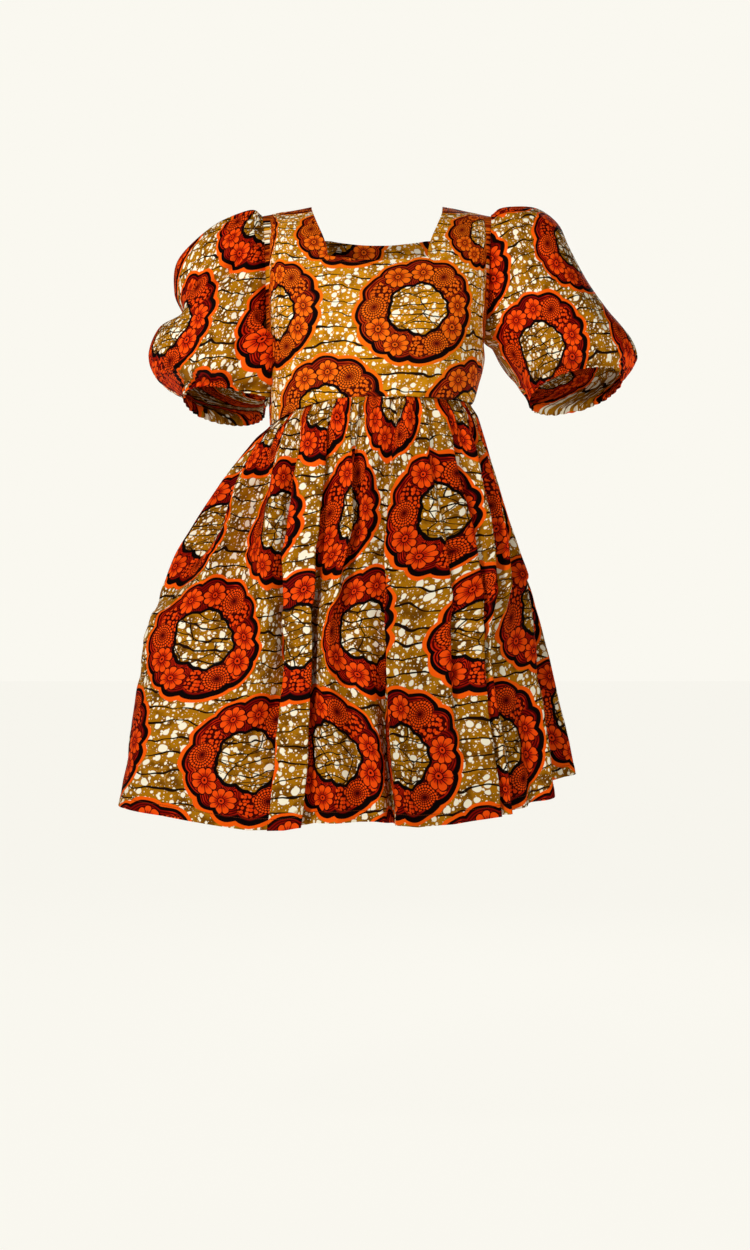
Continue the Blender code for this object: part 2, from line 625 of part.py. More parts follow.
def make_sleeve(side_name, side, rows, cuff_rows, valley):
    sleeve = sleeve_rings([None] + rows, SLEEVE_GATHER_DEPTH, side, valley)
    cuff = sleeve_rings(cuff_rows, CUFF_GATHER_DEPTH, side, False)
    whole = np.concatenate([sleeve, cuff])
    if side < 0:
        whole = whole[:, ::-1]
    panel = Panel("whole", "sleeve", whole, closed=True)
    panel.upright_row(0)
    seam = len(rows)
    pieces = []
    for kind, first, last in (("sleeve", 0, seam), ("cuff", seam, len(whole) - 1)):
        piece = Panel(f"{kind}_{side_name}", kind, whole[first:last + 1], closed=True)
        piece.normals = panel.normals[first:last + 1].copy()
        end = piece.rows - 1 if kind == "sleeve" else 0
        beside = end - 1 if kind == "sleeve" else 1
        for j in range(piece.columns):
            piece.draw_back((end, j), (beside, j), SEAM_GAP / 2)
        pieces.append(piece)
    return pieces


def main():
    for existing in list(bpy.data.objects):
        bpy.data.objects.remove(existing, do_unlink=True)
    panels = make_bodice() + make_skirt()
    panels += make_sleeve("right", -1, SLEEVE_RIGHT, CUFF_RIGHT, True)
    panels += make_sleeve("left", 1, SLEEVE_LEFT, CUFF_LEFT, False)
    for panel in panels:
        panel.build()


main()
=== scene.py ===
"""Looks of the knee-length wax-print dress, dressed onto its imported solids.

Each cut of cloth is a thin shell on its solid's form, worked out from the same sections and folds
as the solid but finer, with its gathers, creases, hem and stitches. The wax print is a chart of
Math nodes over the cloth's own coordinates. Metres, +Z up, front towards -Y, the wearer's right
side at -X. The origin lies midway between the shoulder straps.
"""

import functools
import math

import bpy
import numpy as np
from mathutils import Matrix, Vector


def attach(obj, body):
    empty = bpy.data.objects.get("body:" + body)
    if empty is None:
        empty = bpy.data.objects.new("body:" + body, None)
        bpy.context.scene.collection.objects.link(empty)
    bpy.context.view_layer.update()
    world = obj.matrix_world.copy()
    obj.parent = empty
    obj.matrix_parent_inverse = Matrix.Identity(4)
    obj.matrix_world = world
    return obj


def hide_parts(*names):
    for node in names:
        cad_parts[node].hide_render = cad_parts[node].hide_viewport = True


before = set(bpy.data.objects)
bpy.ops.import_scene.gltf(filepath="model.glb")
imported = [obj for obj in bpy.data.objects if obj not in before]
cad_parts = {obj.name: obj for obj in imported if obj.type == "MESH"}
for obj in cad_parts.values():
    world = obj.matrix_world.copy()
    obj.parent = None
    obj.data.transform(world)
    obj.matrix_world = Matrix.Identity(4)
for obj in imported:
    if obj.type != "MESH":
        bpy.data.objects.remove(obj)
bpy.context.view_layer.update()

# ---- the dress in its own sizes, as its solids have them -------------------------------------
# the left and right ends of a section lie on the side seams, and higher up on the armholes
BODICE = [
    # z,     left,   right,  front,  back
    (-0.305, -0.163, 0.144, -0.134, 0.090),
    (-0.270, -0.166, 0.159, -0.142, 0.096),
    (-0.235, -0.167, 0.167, -0.149, 0.099),
    (-0.205, -0.167, 0.166, -0.151, 0.101),
    (-0.170, -0.167, 0.169, -0.146, 0.102),
    (-0.130, -0.167, 0.171, -0.132, 0.100),
    (-0.092, -0.168, 0.172, -0.110, 0.093),
    (-0.050, -0.170, 0.174, -0.071, 0.070),
    (-0.025, -0.173, 0.176, -0.035, 0.042),
    (-0.012, -0.176, 0.177, 0.005, 0.005),
]
BODICE_POWER = 2.35      # squareness of the bodice's sections
WAIST_Z = -0.305
WAIST_MIDDLE = (-0.010, -0.020)
WAIST_SIDE_Z = -0.303    # at the wearer's left side
WAIST_DROP = 0.034       # the seam is drawn down towards the side where the skirt is held out
WAIST_DROP_POWER = 7     # how close to that side the drawing down stays
UNDERARM_Z = -0.205
SHOULDER_Z = -0.012      # at the armhole
SHOULDER_RISE = 0.015    # the strap rises to the neck
SHOULDER_RISE_FROM_Z = -0.12
SHOULDER_Y = 0.005
ARMHOLE_FRONT = 0.066    # reach of the armhole before and behind the shoulder seam
ARMHOLE_BACK = 0.070
ARMHOLE_POWER = 2.2      # squareness of the armhole's outline
NECK_X = 0.003           # middle of the neck opening
NECK_TOP = 0.101         # half width at the shoulder seam
NECK_FRONT_LOW = 0.075   # half width at the bottom of the front neckline
NECK_BACK_LOW = 0.092
NECK_FRONT_Z = -0.092
NECK_BACK_Z = -0.050
NECK_SAG = 0.007         # the necklines dip in the middle
NECK_SAG_FROM_Z = -0.20

# ---- skirt: sections, hem, and the folds that run down it ----------------------------------
SKIRT_LEVELS = [0.0, 0.28, 0.58, 0.86, 1.0]   # seam, high, middle, low, hem, as shares of the drop
SKIRT = [
    # drop, left,   right,  front,  back,   pinch of the held-out side, and its swing forward
    (0.00, -0.165, 0.147, -0.138, 0.094, 1.00, 0.000),
    (0.09, -0.207, 0.166, -0.150, 0.108, 1.10, 0.020),
    (0.28, -0.279, 0.200, -0.182, 0.150, 1.25, 0.085),
    (0.45, -0.326, 0.231, -0.206, 0.180, 1.30, 0.130),
    (0.58, -0.346, 0.252, -0.222, 0.198, 1.30, 0.150),
    (0.86, -0.371, 0.287, -0.248, 0.228, 1.25, 0.155),
    (1.00, -0.383, 0.308, -0.260, 0.240, 1.20, 0.155),
]
HEM = [
    # angle round the section, height
    (-60, -0.948), (-30, -0.930), (-12, -0.914), (0, -0.909), (18, -0.911), (35, -0.919),
    (48, -0.928), (62, -0.939), (72, -0.937), (80, -0.927), (98, -0.925), (108, -0.933), (118, -0.931),
    (131, -0.922), (149, -0.903), (165, -0.872), (180, -0.858), (200, -0.872), (225, -0.905),
    (250, -0.936), (270, -0.947),
]
PANEL = 1.16             # cloth width of the skirt's front, and of its two backs together
# a fold line on each row: crest 1 or valley -1, its place across the cloth at each level, or one
# for all of them, and its angle there round the section, in degrees from the wearer's right side
# over the front
FRONT_FOLDS = [
    (0, 0, (-2, -9, -22, -25, -26)),
    (1, 0.055, (4, 3, -12, -16, -17)),
    (-1, 0.105, (11, 15, -3, -8, -9)),
    (1, 0.18, (21, 34, 31, 20, 18)),
    (-1, 0.255, (33, 44, 50, 42, 41)),
    (1, 0.315, (43, 54.5, 62, 55, 54)),
    (-1, (0.38, 0.372, 0.385, 0.38, 0.38), (52, 63, 69.5, 67, 66.5)),
    (1, (0.425, 0.407, 0.444, 0.43, 0.43), (57, 62, 70, 69, 68.5)),
    (1, (0.475, 0.455, 0.486, 0.474, 0.474), (67.5, 74, 77.5, 76, 75)),
    (-1, (0.505, 0.487, 0.555, 0.51, 0.51), (71, 74, 77.5, 76.5, 76)),
    (1, (0.545, 0.564, 0.63, 0.58, 0.58), (78, 92, 85.7, 87.8, 87.4)),
    (-1, (0.585, 0.597, 0.66, 0.62, 0.62), (84.5, 91, 91.5, 94.8, 94.1)),
    (0, (0.64, 0.64, 0.69, 0.65, 0.65), (94, 96.5, 97.2, 99.4, 98.6)),
    (-1, (0.7, 0.696, 0.745, 0.72, 0.72), (105, 107.3, 105.5, 103.5, 103.5)),
    (1, (0.735, 0.728, 0.786, 0.8, 0.8), (109, 106.2, 105, 103.5, 103)),
    (0, (0.77, 0.765, 0.85, 0.87, 0.87), (114, 116, 117.5, 114.5, 113.4)),
    (1, (0.8, 0.811, 0.878, 0.9, 0.9), (119, 130, 124.8, 120.9, 119.5)),
    (-1, (0.82, 0.824, 0.895, 0.918, 0.918), (121.5, 130.5, 124.7, 124.2, 122.9)),
    (1, (0.86, 0.862, 0.95, 0.956, 0.956), (134, 146, 135, 132.6, 130.9)),
    (-1, (0.895, 0.88, 1, 1, 1), (139, 149, 135.4, 133.7, 132.1)),
    (1, (0.96, 0.925, 1.05, 1.045, 1.045), (151, 157.5, 139.2, 136.2, 134.4)),
    (-1, (1, 0.965, 1.07, 1.07, 1.07), (156.5, 163, 142, 139.6, 137.4)),
    (1, (1.04, 1.015, 1.09, 1.092, 1.092), (162, 169.5, 147, 144.2, 141.4)),
    (-1, (1.095, 1.085, 1.115, 1.115, 1.115), (169.5, 177, 154, 149.6, 145.8)),
    (1, 1.16, (178, 185, 170, 155, 151)),
]
BACK_FOLDS = 20          # crests and valleys between the two side seams
BACK_UNEVEN = 0.011      # how far they stray from even spacing, as a share of the width
FOLD_FULLNESS = 0.46     # share of the spare cloth that stands in the main folds
FOLD_LIMIT = 0.034       # deepest main fold, from the middle line
FOLD_AT_SEAM = 0.10      # share of its depth that a fold has at the waist seam
FOLD_FULL_DROP = 0.24    # drop at which a fold has its whole depth

# ---- sleeves: one row for each section, from the armhole to the cuff ------------------------
# outer and inner end of the section seen from the front, its front and back, and how far the
# front rises over the back
SLEEVE_RIGHT = [
    # outer x and z, inner x and z, front, back, rise
    (-0.197, -0.009, -0.1735, -0.21, -0.08, 0.085, 0),
    (-0.252, -0.032, -0.1725, -0.22, -0.094, 0.098, 0),
    (-0.303, -0.08, -0.172, -0.231, -0.1, 0.104, 0.001),
    (-0.312, -0.129, -0.172, -0.242, -0.1, 0.105, 0.002),
    (-0.308, -0.164, -0.172, -0.252, -0.097, 0.103, 0.004),
    (-0.336, -0.19, -0.172, -0.263, -0.099, 0.102, 0.007),
    (-0.348, -0.233, -0.172, -0.275, -0.096, 0.099, 0.011),
    (-0.331, -0.265, -0.172, -0.287, -0.084, 0.09, 0.015),
    (-0.3, -0.278, -0.1725, -0.296, -0.062, 0.072, 0.018),
]
CUFF_RIGHT = [
    (-0.295, -0.287, -0.1735, -0.305, -0.057, 0.067, 0.02),
    (-0.293, -0.296, -0.1745, -0.314, -0.058, 0.068, 0.022),
]
SLEEVE_LEFT = [
    (0.205, -0.004, 0.176, -0.212, -0.08, 0.085, 0),
    (0.247, -0.004, 0.18, -0.216, -0.093, 0.097, 0),
    (0.279, -0.026, 0.185, -0.225, -0.1, 0.104, 0.001),
    (0.297, -0.064, 0.1905, -0.236, -0.102, 0.106, 0.002),
    (0.323, -0.113, 0.197, -0.246, -0.1, 0.104, 0.004),
    (0.354, -0.158, 0.205, -0.256, -0.096, 0.1, 0.007),
    (0.387, -0.199, 0.214, -0.264, -0.09, 0.095, 0.012),
    (0.397, -0.232, 0.222, -0.272, -0.08, 0.086, 0.016),
    (0.387, -0.251, 0.23, -0.281, -0.062, 0.07, 0.022),
]
CUFF_LEFT = [
    (0.379, -0.259, 0.235, -0.289, -0.057, 0.065, 0.024),
    (0.376, -0.267, 0.238, -0.297, -0.058, 0.066, 0.026),
]
SLEEVE_POWER = 2.15
GATHER_INNER = 0.35      # share of the gathers' depth on the side next to the body
SAG_VALLEY = 0.017       # soft valley across the front of the right sleeve, between its two lobes
SAG_START = 5.2          # section it starts from at the outer side
SAG_SLOPE = 3.4          # sections it climbs on its way to the middle of the front
SAG_WIDTH = 0.85         # half width, in sections
SAG_END = 1.9            # turn from the outer side at which it has died out, in radians
SAG_FADE = 0.9           # length over which it does so

# ---- the shells' finer grids ----------------------------------------------------------------
SEAM_GAP = 0.0004        # between the shells that meet at a seam
ARMHOLE_GAP = 0.0006
WAIST_BLEND_Z = -0.270   # below this height the bodice's rows bend down to the waist seam
FINE_NECK = 34           # columns in half the neck opening
FINE_STRAP = 30
FINE_ABOVE = 34          # rows above and below the bottom of the neckline
FINE_BELOW = 76
FINE_CUFF_ROWS = 14

# ---- the wax print, charted with Math nodes --------------------------------------------------

class Formula:
    """A number worked out by Math nodes, written as ordinary arithmetic."""

    def __init__(self, tree, socket):
        self.tree = tree
        self.socket = socket

    def make(self, operation, *values):
        node = add_node(self.tree, "Math", enumerate(values), operation=operation)
        return Formula(self.tree, node.outputs[0])

    def __rsub__(self, other):
        return self.make("SUBTRACT", other, self)


def put(tree, place, value):
    """Link a formula or a socket to an input, or set a plain value there."""
    if isinstance(value, Formula):
        tree.links.new(value.socket, place)
    elif isinstance(value, bpy.types.NodeSocket):
        tree.links.new(value, place)
    else:
        place.default_value = value


def add_node(tree, kind, inputs=(), **settings):
    """A new node; inputs pairs the name or the number of an input with what goes into it."""
    node = tree.nodes.new("ShaderNode" + kind)
    for name, value in settings.items():
        setattr(node, name, value)
    for name, value in inputs:
        put(tree, node.inputs[name], value)
    return node


def operator(operation):
    """A function of one or two formulas, whose first is this operation's first number."""
    return lambda first, *others: first.make(operation, first, *others)


for sign, operation in (
    ("add", "ADD"), ("radd", "ADD"), ("sub", "SUBTRACT"), ("mul", "MULTIPLY"), ("rmul", "MULTIPLY"),
    ("truediv", "DIVIDE"), ("pow", "POWER"), ("lt", "LESS_THAN"),
):
    setattr(Formula, f"__{sign}__", operator(operation))
sine, cosine = operator("SINE"), operator("COSINE")
fraction, whole, size = operator("FRACT"), operator("FLOOR"), operator("ABSOLUTE")
least, most = operator("MINIMUM"), operator("MAXIMUM")
direction = operator("ARCTAN2")      # of y, x


def reach(x, y):
    return x.make("SQRT", x * x + y * y)


def ramp(value, low, high):
    """0 below low, 1 above high, smooth between them."""
    inputs = (("Value", value), ("From Min", low), ("From Max", high))
    node = add_node(value.tree, "MapRange", inputs, interpolation_type="SMOOTHSTEP")
    return Formula(value.tree, node.outputs["Result"])


def between(a, b, share):
    return a + (b - a) * share


def vector(x, y, z=0.0):
    return add_node(x.tree, "CombineXYZ", enumerate((x, y, z))).outputs[0]


def noise(x, y, scale, detail=1.0, z=0.0):
    """Two smooth random numbers around 0, from about -0.3 to 0.3."""
    inputs = (("Scale", scale), ("Detail", detail), ("Vector", vector(x, y, z)))
    node = add_node(x.tree, "TexNoise", inputs)
    parts = add_node(x.tree, "SeparateColor", [(0, node.outputs["Color"])])
    return [Formula(x.tree, parts.outputs[k]) - 0.5 for k in range(2)]


def cells(x, y, scale, randomness, feature="F1"):
    """Distance to the nearest cell's middle or edge, and a random number for each cell."""
    inputs = (("Scale", scale), ("Randomness", randomness), ("Vector", vector(x, y)))
    node = add_node(x.tree, "TexVoronoi", inputs, voronoi_dimensions="2D", feature=feature)
    distance = Formula(x.tree, node.outputs["Distance"])
    if feature == "DISTANCE_TO_EDGE":
        return distance, None
    parts = add_node(x.tree, "SeparateColor", [(0, node.outputs["Color"])])
    return distance, Formula(x.tree, parts.outputs[0])


def dye(hexes):
    """Linear colour of an sRGB hex code."""
    parts = [int(hexes[k:k + 2], 16) / 255 for k in (0, 2, 4)]
    return [p / 12.92 if p <= 0.04045 else ((p + 0.055) / 1.055) ** 2.4 for p in parts] + [1.0]


def tint(share, low, high):
    """Colour between low and high; each is a dye or another colour's socket."""
    inputs = ((0, share), (6, low), (7, high))
    return add_node(share.tree, "Mix", inputs, data_type="RGBA").outputs[2]


# the ring of flowers, in millimetres from its middle; directions in degrees, down from the right
RING_PITCH = (240.0, 340.0)      # two such lattices, the second half a pitch on both ways
SCALLOPS = 13
SCALLOP_MIDDLE = 53.0            # distance of a scallop's middle, and its radius
SCALLOP_RADIUS = 39.0
RIM_LINE = 5.3                   # dark outline, thicker at the lower right
HALO = 4.7                       # orange band outside it
HOLE = 45.0
HOLE_LINE = 4.6
SECTOR = 120.0                   # the band's pattern repeats three times round
SECTOR_START = -36.0
RING_TURN = 11.0                 # direction of the first pair of flowers
FLOWERS = [
    # direction from the pair's middle, distance, radius, petals
    (-16.5, 66.5, 19.5, 9),
    (15.5, 65.0, 18.5, 8),
]
FIRST_PETAL = 0.13               # turn of a flower's first petal
PETAL_FALL = 5.4                 # how far a petal's sides fall back from its tip
# shares of a flower's radius: where the petals' roots, their veins and the dark heart end, then
# the middle of the ring in the heart, and its half width with and without the soft edge
FLOWER_PARTS = [(0.34, 0.7), (0.50, 0.58), (0.27, 0.30)]
FLOWER_EYE = (0.155, 0.085, 0.055)
ROSETTE = (48.0, 66.5, 20.0)     # seed rosette: direction, distance, radius
LOOSE_SEEDS = (24.0, 9.5)        # beyond this direction, and this far inside the rim
SEED_RINGS = 1.85                # seeds grow outwards: rings in the root of the distance
ARC_PITCH = 3.5                  # fine arcs along the rim
RING_WAVES = (0.021, 16.0)       # the ring is drawn by hand: waves for each millimetre, reach
BAND_INNER = 60.0                # the band is whole inside this, between the scallops
MILLIMETRES = 1000.0             # in a metre
BUBBLES = [
    # cells for each millimetre, smallest bubble as a share of a cell, and the spread above it
    (0.060, 0.04, 0.37), (0.105, 0.0, 0.30), (0.17, 0.0, 0.20),
]

DYE_TABLE = [
    # what it colours, on the skirt and sleeves, on the bodice: two copies of one cloth's dyes, the
    # bodice's lighter and yellower as painted light from above, the skirt's and sleeves' darker as
    # painted shade
    ("outline", "090202", "0E0303"),
    ("gap", "3A0200", "480C02"),
    ("wine", "460200", "500A02"),
    ("red", "840800", "9A2204"),
    ("orange", "DA3404", "D8560A"),
    ("petal", "F24C08", "F06A0E"),
    ("petal root", "C02002", "BE3804"),
    ("halo", "F65A06", "EE6808"),
    ("mustard", "AA6E06", "CC860A"),
    ("mustard deep", "6E4002", "9E6404"),
    ("cream", "FBF1D6", "FBF3DA"),
    ("cream dull", "C89A52", "DCB060"),
    ("crackle", "1A0A02", "201004"),
]
# the same print twice: painted light in the bodice's copy, painted shade in the skirt's and sleeves'
# copy
DYES = {
    "wax_print_cotton": {name: dye(hexes) for name, hexes, _ in DYE_TABLE},
    "wax_print_cotton_bodice_painted_light": {name: dye(hexes) for name, _, hexes in DYE_TABLE},
}


def spot(x, y, angle, distance):
    """Places and distance from a point that lies in one direction from the ring's middle."""
    x = x - distance * math.cos(math.radians(angle))
    y = y - distance * math.sin(math.radians(angle))
    return x, y, reach(x, y)


def flower(x, y, place, colour, dyes):
    """A many-petalled flower over colour. Returns the new colour and the distance to its edge."""
    angle, distance, radius, petals = place
    fx, fy, out = spot(x, y, angle, distance)
    turn = direction(fy, fx) * (petals / (2 * math.pi)) + FIRST_PETAL * petals
    side = size(fraction(turn) - 0.5)
    tip = radius - PETAL_FALL * (side * 2) ** 3.0
    to_side = (0.5 - side) * out * (2 * math.pi / petals)
    edge = tip - out
    inside = ramp(least(edge, to_side), 0.3, 0.8)
    root, veins, heart = [ramp(out, low * radius, high * radius) for low, high in FLOWER_PARTS]
    petal = tint(root, dyes["petal root"], dyes["petal"])
    vein = most(ramp(side * out * (2 * math.pi / petals), 0.15, 0.5), veins)
    petal = tint(vein, dyes["wine"], petal)
    made = tint(inside, dyes["outline"], petal)
    made = tint(heart, dyes["outline"], made)
    eye_radius, soft, firm = [share * radius for share in FLOWER_EYE]
    eye = ramp(size(out - eye_radius), soft, firm)
    made = tint(eye, made, dyes["orange"])
    covers = ramp(edge, -1.3, -0.9)
    return tint(covers, colour, made), radius - out


def rosette(x, y, colour, dyes):
    """Seeds in rings round a dark middle, over colour; also the distance to its edge."""
    angle, distance, radius = ROSETTE
    fx, fy, out = spot(x, y, angle, distance)
    rings = out ** 0.5 * SEED_RINGS
    ring = whole(rings)
    count = whole((ring + 0.5) * math.pi + 0.5)
    across = fraction(direction(fy, fx) * count * (1 / (2 * math.pi)) + ring * 0.37) - 0.5
    along = fraction(rings) - 0.5
    dot = reach(across, along)
    share = ramp(dot, 0.47, 0.31) * ramp(out, 1.6, 2.6)
    seeds = tint(share, dyes["gap"], tint(ramp(out, 1.0, 0.6 * radius), dyes["red"], dyes["petal"]))
    return tint(ramp(radius - out, 0.0, 0.7), colour, seeds), radius - out


def ring_band(x, y, dyes):
    """Colour of the ring's band, and the distances inside its outer rim and its hole's rim."""
    waves, sway = RING_WAVES
    shift = noise(x, y, waves)
    x = x + shift[0] * sway
    y = y + shift[1] * sway
    out = reach(x, y)
    turn = direction(y, x)
    bump = turn * (SCALLOPS / (2 * math.pi)) + sine(turn * 2 + 1.0) * 0.22 + sine(turn * 3) * 0.16
    along = (fraction(bump) - 0.5) * (2 * math.pi / SCALLOPS * 80)
    depth = SCALLOP_RADIUS - reach(along, out - SCALLOP_MIDDLE)
    depth = most(depth, BAND_INNER - out)
    hole = out - HOLE - sine(turn * 2 + 0.6) * 2.0 - sine(turn * 5 + 2.0) * 1.8
    hole = hole - size(sine(turn * 6.5)) * 2.4
    start = math.radians(RING_TURN + SECTOR_START)
    fold = fraction((turn - start) / math.radians(SECTOR)) * SECTOR + SECTOR_START
    sx = out * cosine(fold * (math.pi / 180))
    sy = out * sine(fold * (math.pi / 180))

    lines = ramp(size(fraction(depth / ARC_PITCH) - 0.5), 0.14, 0.28)
    band = tint(lines, dyes["petal root"], dyes["wine"])
    darker = tint(lines, dyes["red"], dyes["wine"])
    band = tint(ramp(noise(x, y, 0.07)[1], -0.06, 0.12), darker, band)
    seed, chance = cells(x, y, 0.165, 0.62)
    seeds = tint(ramp(seed, 0.45, 0.35), dyes["gap"], tint(chance, dyes["orange"], dyes["petal"]))
    beside = ramp(fold, LOOSE_SEEDS[0] - 3, LOOSE_SEEDS[0] + 3)
    band = tint(beside * ramp(depth, LOOSE_SEEDS[1], LOOSE_SEEDS[1] + 2), band, seeds)
    band, to_rosette = rosette(sx, sy, band, dyes)
    inner = most(hole, to_rosette)
    for place in FLOWERS:
        band, to_flower = flower(sx, sy, place, band, dyes)
        inner = most(inner, to_flower)
        depth = most(depth, to_flower - 3)
    return band, depth, inner, turn


def crackles(u, v, pitch, sway, width, scale):
    """Thin wavy lines across the cloth, thick and thin."""
    drift = noise(u, v, scale, 2.0, pitch)
    line = size(fraction(v / pitch + drift[0] * sway) - 0.5) * pitch
    thick = most(width * (1.0 + drift[1] * 3.2), 0.25)
    return ramp(line, thick, thick + 0.5)


def ground(u, v, in_hole, dyes):
    """Mustard cloth with cream bubbles and dark crackle lines, in millimetres."""
    shift = noise(u, v, 0.05)
    bu = u + shift[0] * 9
    bv = v + shift[1] * 7
    mottle = noise(u, v, 0.045, 3.0, 3.0)
    base = tint(ramp(mottle[0], -0.16, 0.06), dyes["mustard deep"], dyes["mustard"])
    veins, _ = cells(bu * 1.05, bv * 0.8, 0.085, 0.85, "DISTANCE_TO_EDGE")
    paler = tint(ramp(mottle[1], 0.02, 0.26), base, dyes["cream dull"])
    base = tint(ramp(veins, 0.012, 0.045), paler, base)
    cream = tint(ramp(mottle[1], 0.14, 0.26), dyes["cream"], dyes["cream dull"])
    for scale, least_size, spread in BUBBLES:
        bubble, chance = cells(bu * 1.1, bv, scale, 0.86)
        edge = least_size + chance * spread
        base = tint(ramp(bubble, edge, edge - 0.05), base, cream)
    outside = crackles(u, v, 24.0, 1.9, 1.0, 0.016)
    inside = crackles(u, v, 16.0, 2.4, 0.75, 0.020)
    web, _ = cells(bu * 0.55, bv, 0.040, 1.0, "DISTANCE_TO_EDGE")
    inside = least(inside, ramp(web, 0.014, 0.034))
    lines = between(outside, inside, in_hole)
    return tint(lines, dyes["crackle"], base)


def wax_print(u, v, dyes):
    """Colour of the printed cloth at u across and v down its length, in millimetres."""
    first = [fraction(c / p + 0.5) * p - 0.5 * p for c, p in zip((u, v), RING_PITCH)]
    second = [fraction(c / p) * p - 0.5 * p for c, p in zip((u, v), RING_PITCH)]
    nearer = reach(*second) < reach(*first)
    x = between(first[0], second[0], nearer)
    y = between(first[1], second[1], nearer)
    band, depth, inner, turn = ring_band(x, y, dyes)
    in_band = ramp(inner, -0.2, 0.2)
    in_hole = ramp(inner, -HOLE_LINE + 0.2, -HOLE_LINE - 0.2)
    cloth = ground(u, v, in_hole * ramp(depth, 0, 2), dyes)
    ring = tint(in_hole, tint(in_band, dyes["outline"], band), cloth)
    rim = RIM_LINE + cosine(turn - 0.8) * 2.0
    ring = tint(ramp(depth - rim, -0.2, 0.2), dyes["outline"], ring)
    halo = HALO + noise(u, v, 0.03)[0] * 7
    around = tint(ramp(depth + halo, -0.3, 0.3), cloth, dyes["halo"])
    return tint(ramp(depth, -0.2, 0.2), around, ring)


THREADS = 0.00075        # two threads of the weave


def new_material(name, settings):
    """A material, and its shader with the inputs that settings names."""
    material = bpy.data.materials.new(name)
    material.use_nodes = True
    shader = material.node_tree.nodes["Principled BSDF"]
    for socket, value in settings.items():
        shader.inputs[socket].default_value = value
    return material, shader


@functools.cache
def cotton(name):
    """The printed cotton: the chart, a faint glaze, and the weave as bump."""
    material, shader = new_material(name, {"Roughness": 0.72, "Specular IOR Level": 0.03})
    tree = material.node_tree
    place = add_node(tree, "UVMap", uv_map="cloth")
    parts = add_node(tree, "SeparateXYZ", [(0, place.outputs[0])])
    u, v = [Formula(tree, parts.outputs[k]) * MILLIMETRES for k in range(2)]
    put(tree, shader.inputs["Base Color"], wax_print(u, v, DYES[name]))
    turn = 2 * math.pi / (THREADS * MILLIMETRES)
    weave = sine(u * turn) * sine(v * turn)
    bump = add_node(tree, "Bump", (("Strength", 0.12), ("Distance", 0.0002), ("Height", weave)))
    put(tree, shader.inputs["Normal"], bump.outputs[0])
    return material


# ---- thin shells ----------------------------------------------------------------------------

WALL = 0.0007            # a shell's thickness
SHARP_ANGLE = math.radians(80)


def spans(edges, at):
    """Which span between edges each place lies in, and its share of the way across it."""
    which = np.clip(np.searchsorted(edges, at, side="right") - 1, 0, len(edges) - 2)
    return which, (at - edges[which]) / (edges[which + 1] - edges[which])


def smooth(places, values, at):
    """Cubic through (places, values) at each place in at; values may be rows of numbers."""
    places = np.asarray(places, float)
    values = np.asarray(values, float).reshape(len(places), -1)
    at = np.atleast_1d(np.asarray(at, float))
    steps = np.diff(places)[:, None]
    rises = np.diff(values, axis=0) / steps
    inner = (rises[:-1] * steps[1:] + rises[1:] * steps[:-1]) / (steps[1:] + steps[:-1])
    slopes = np.vstack([rises[:1], inner, rises[-1:]])
    k, t = spans(places, at)
    step = steps[k]
    t = t[:, None]
    near = (1 + 2 * t) * (1 - t) ** 2 * values[k] + t * t * (3 - 2 * t) * values[k + 1]
    return near + step * t * (1 - t) * ((1 - t) * slopes[k] - t * slopes[k + 1])


def ease(value):
    value = np.clip(value, 0.0, 1.0)
    return value * value * (3 - 2 * value)


def column(table, index):
    return [row[index] for row in table]


def unit(vectors):
    return vectors / np.maximum(np.linalg.norm(vectors, axis=-1, keepdims=True), 1e-12)


def wrapped(grid):
    """The grid with its first column again after its last."""
    return np.concatenate([grid, grid[:, :1]], axis=1)


def corners_of(grid):
    """The four corners of each square of a grid, in the order that its faces have."""
    return [grid[:-1, :-1], grid[1:, :-1], grid[1:, 1:], grid[:-1, 1:]]


def grid_normals(points, closed=False, gone=None):
    """Outward normals of a grid whose rows run down and whose columns run round."""
    padded = wrapped(points) if closed else points
    a, b, c, d = corners_of(padded)
    across = np.cross(c - a, d - b)
    if gone is not None:
        across[gone] = 0
    normals = np.zeros_like(padded)
    for corner in corners_of(normals):
        corner += across
    if closed:
        normals[:, 0] += normals[:, -1]
        normals = normals[:, :-1]
    return unit(normals)


def lengths_along(points, axis):
    """Running length of a grid's lines along one axis, from 0."""
    steps = np.linalg.norm(np.diff(points, axis=axis), axis=-1)
    start = np.zeros_like(np.take(steps, [0], axis=axis))
    return np.cumsum(np.concatenate([start, steps], axis=axis), axis=axis)


def make_mesh(name, vertices, faces, uvs=None):
    mesh = bpy.data.meshes.new(name)
    mesh.from_pydata(vertices.tolist(), [], faces.tolist())
    if uvs is not None:
        layer = mesh.uv_layers.new(name="cloth")
        layer.data.foreach_set("uv", uvs.astype(np.float32).ravel())
    mesh.update()
    mesh.shade_smooth()
    mesh.set_sharp_from_angle(angle=SHARP_ANGLE)
    piece = bpy.data.objects.new(name, mesh)
    bpy.context.scene.collection.objects.link(piece)
    return piece


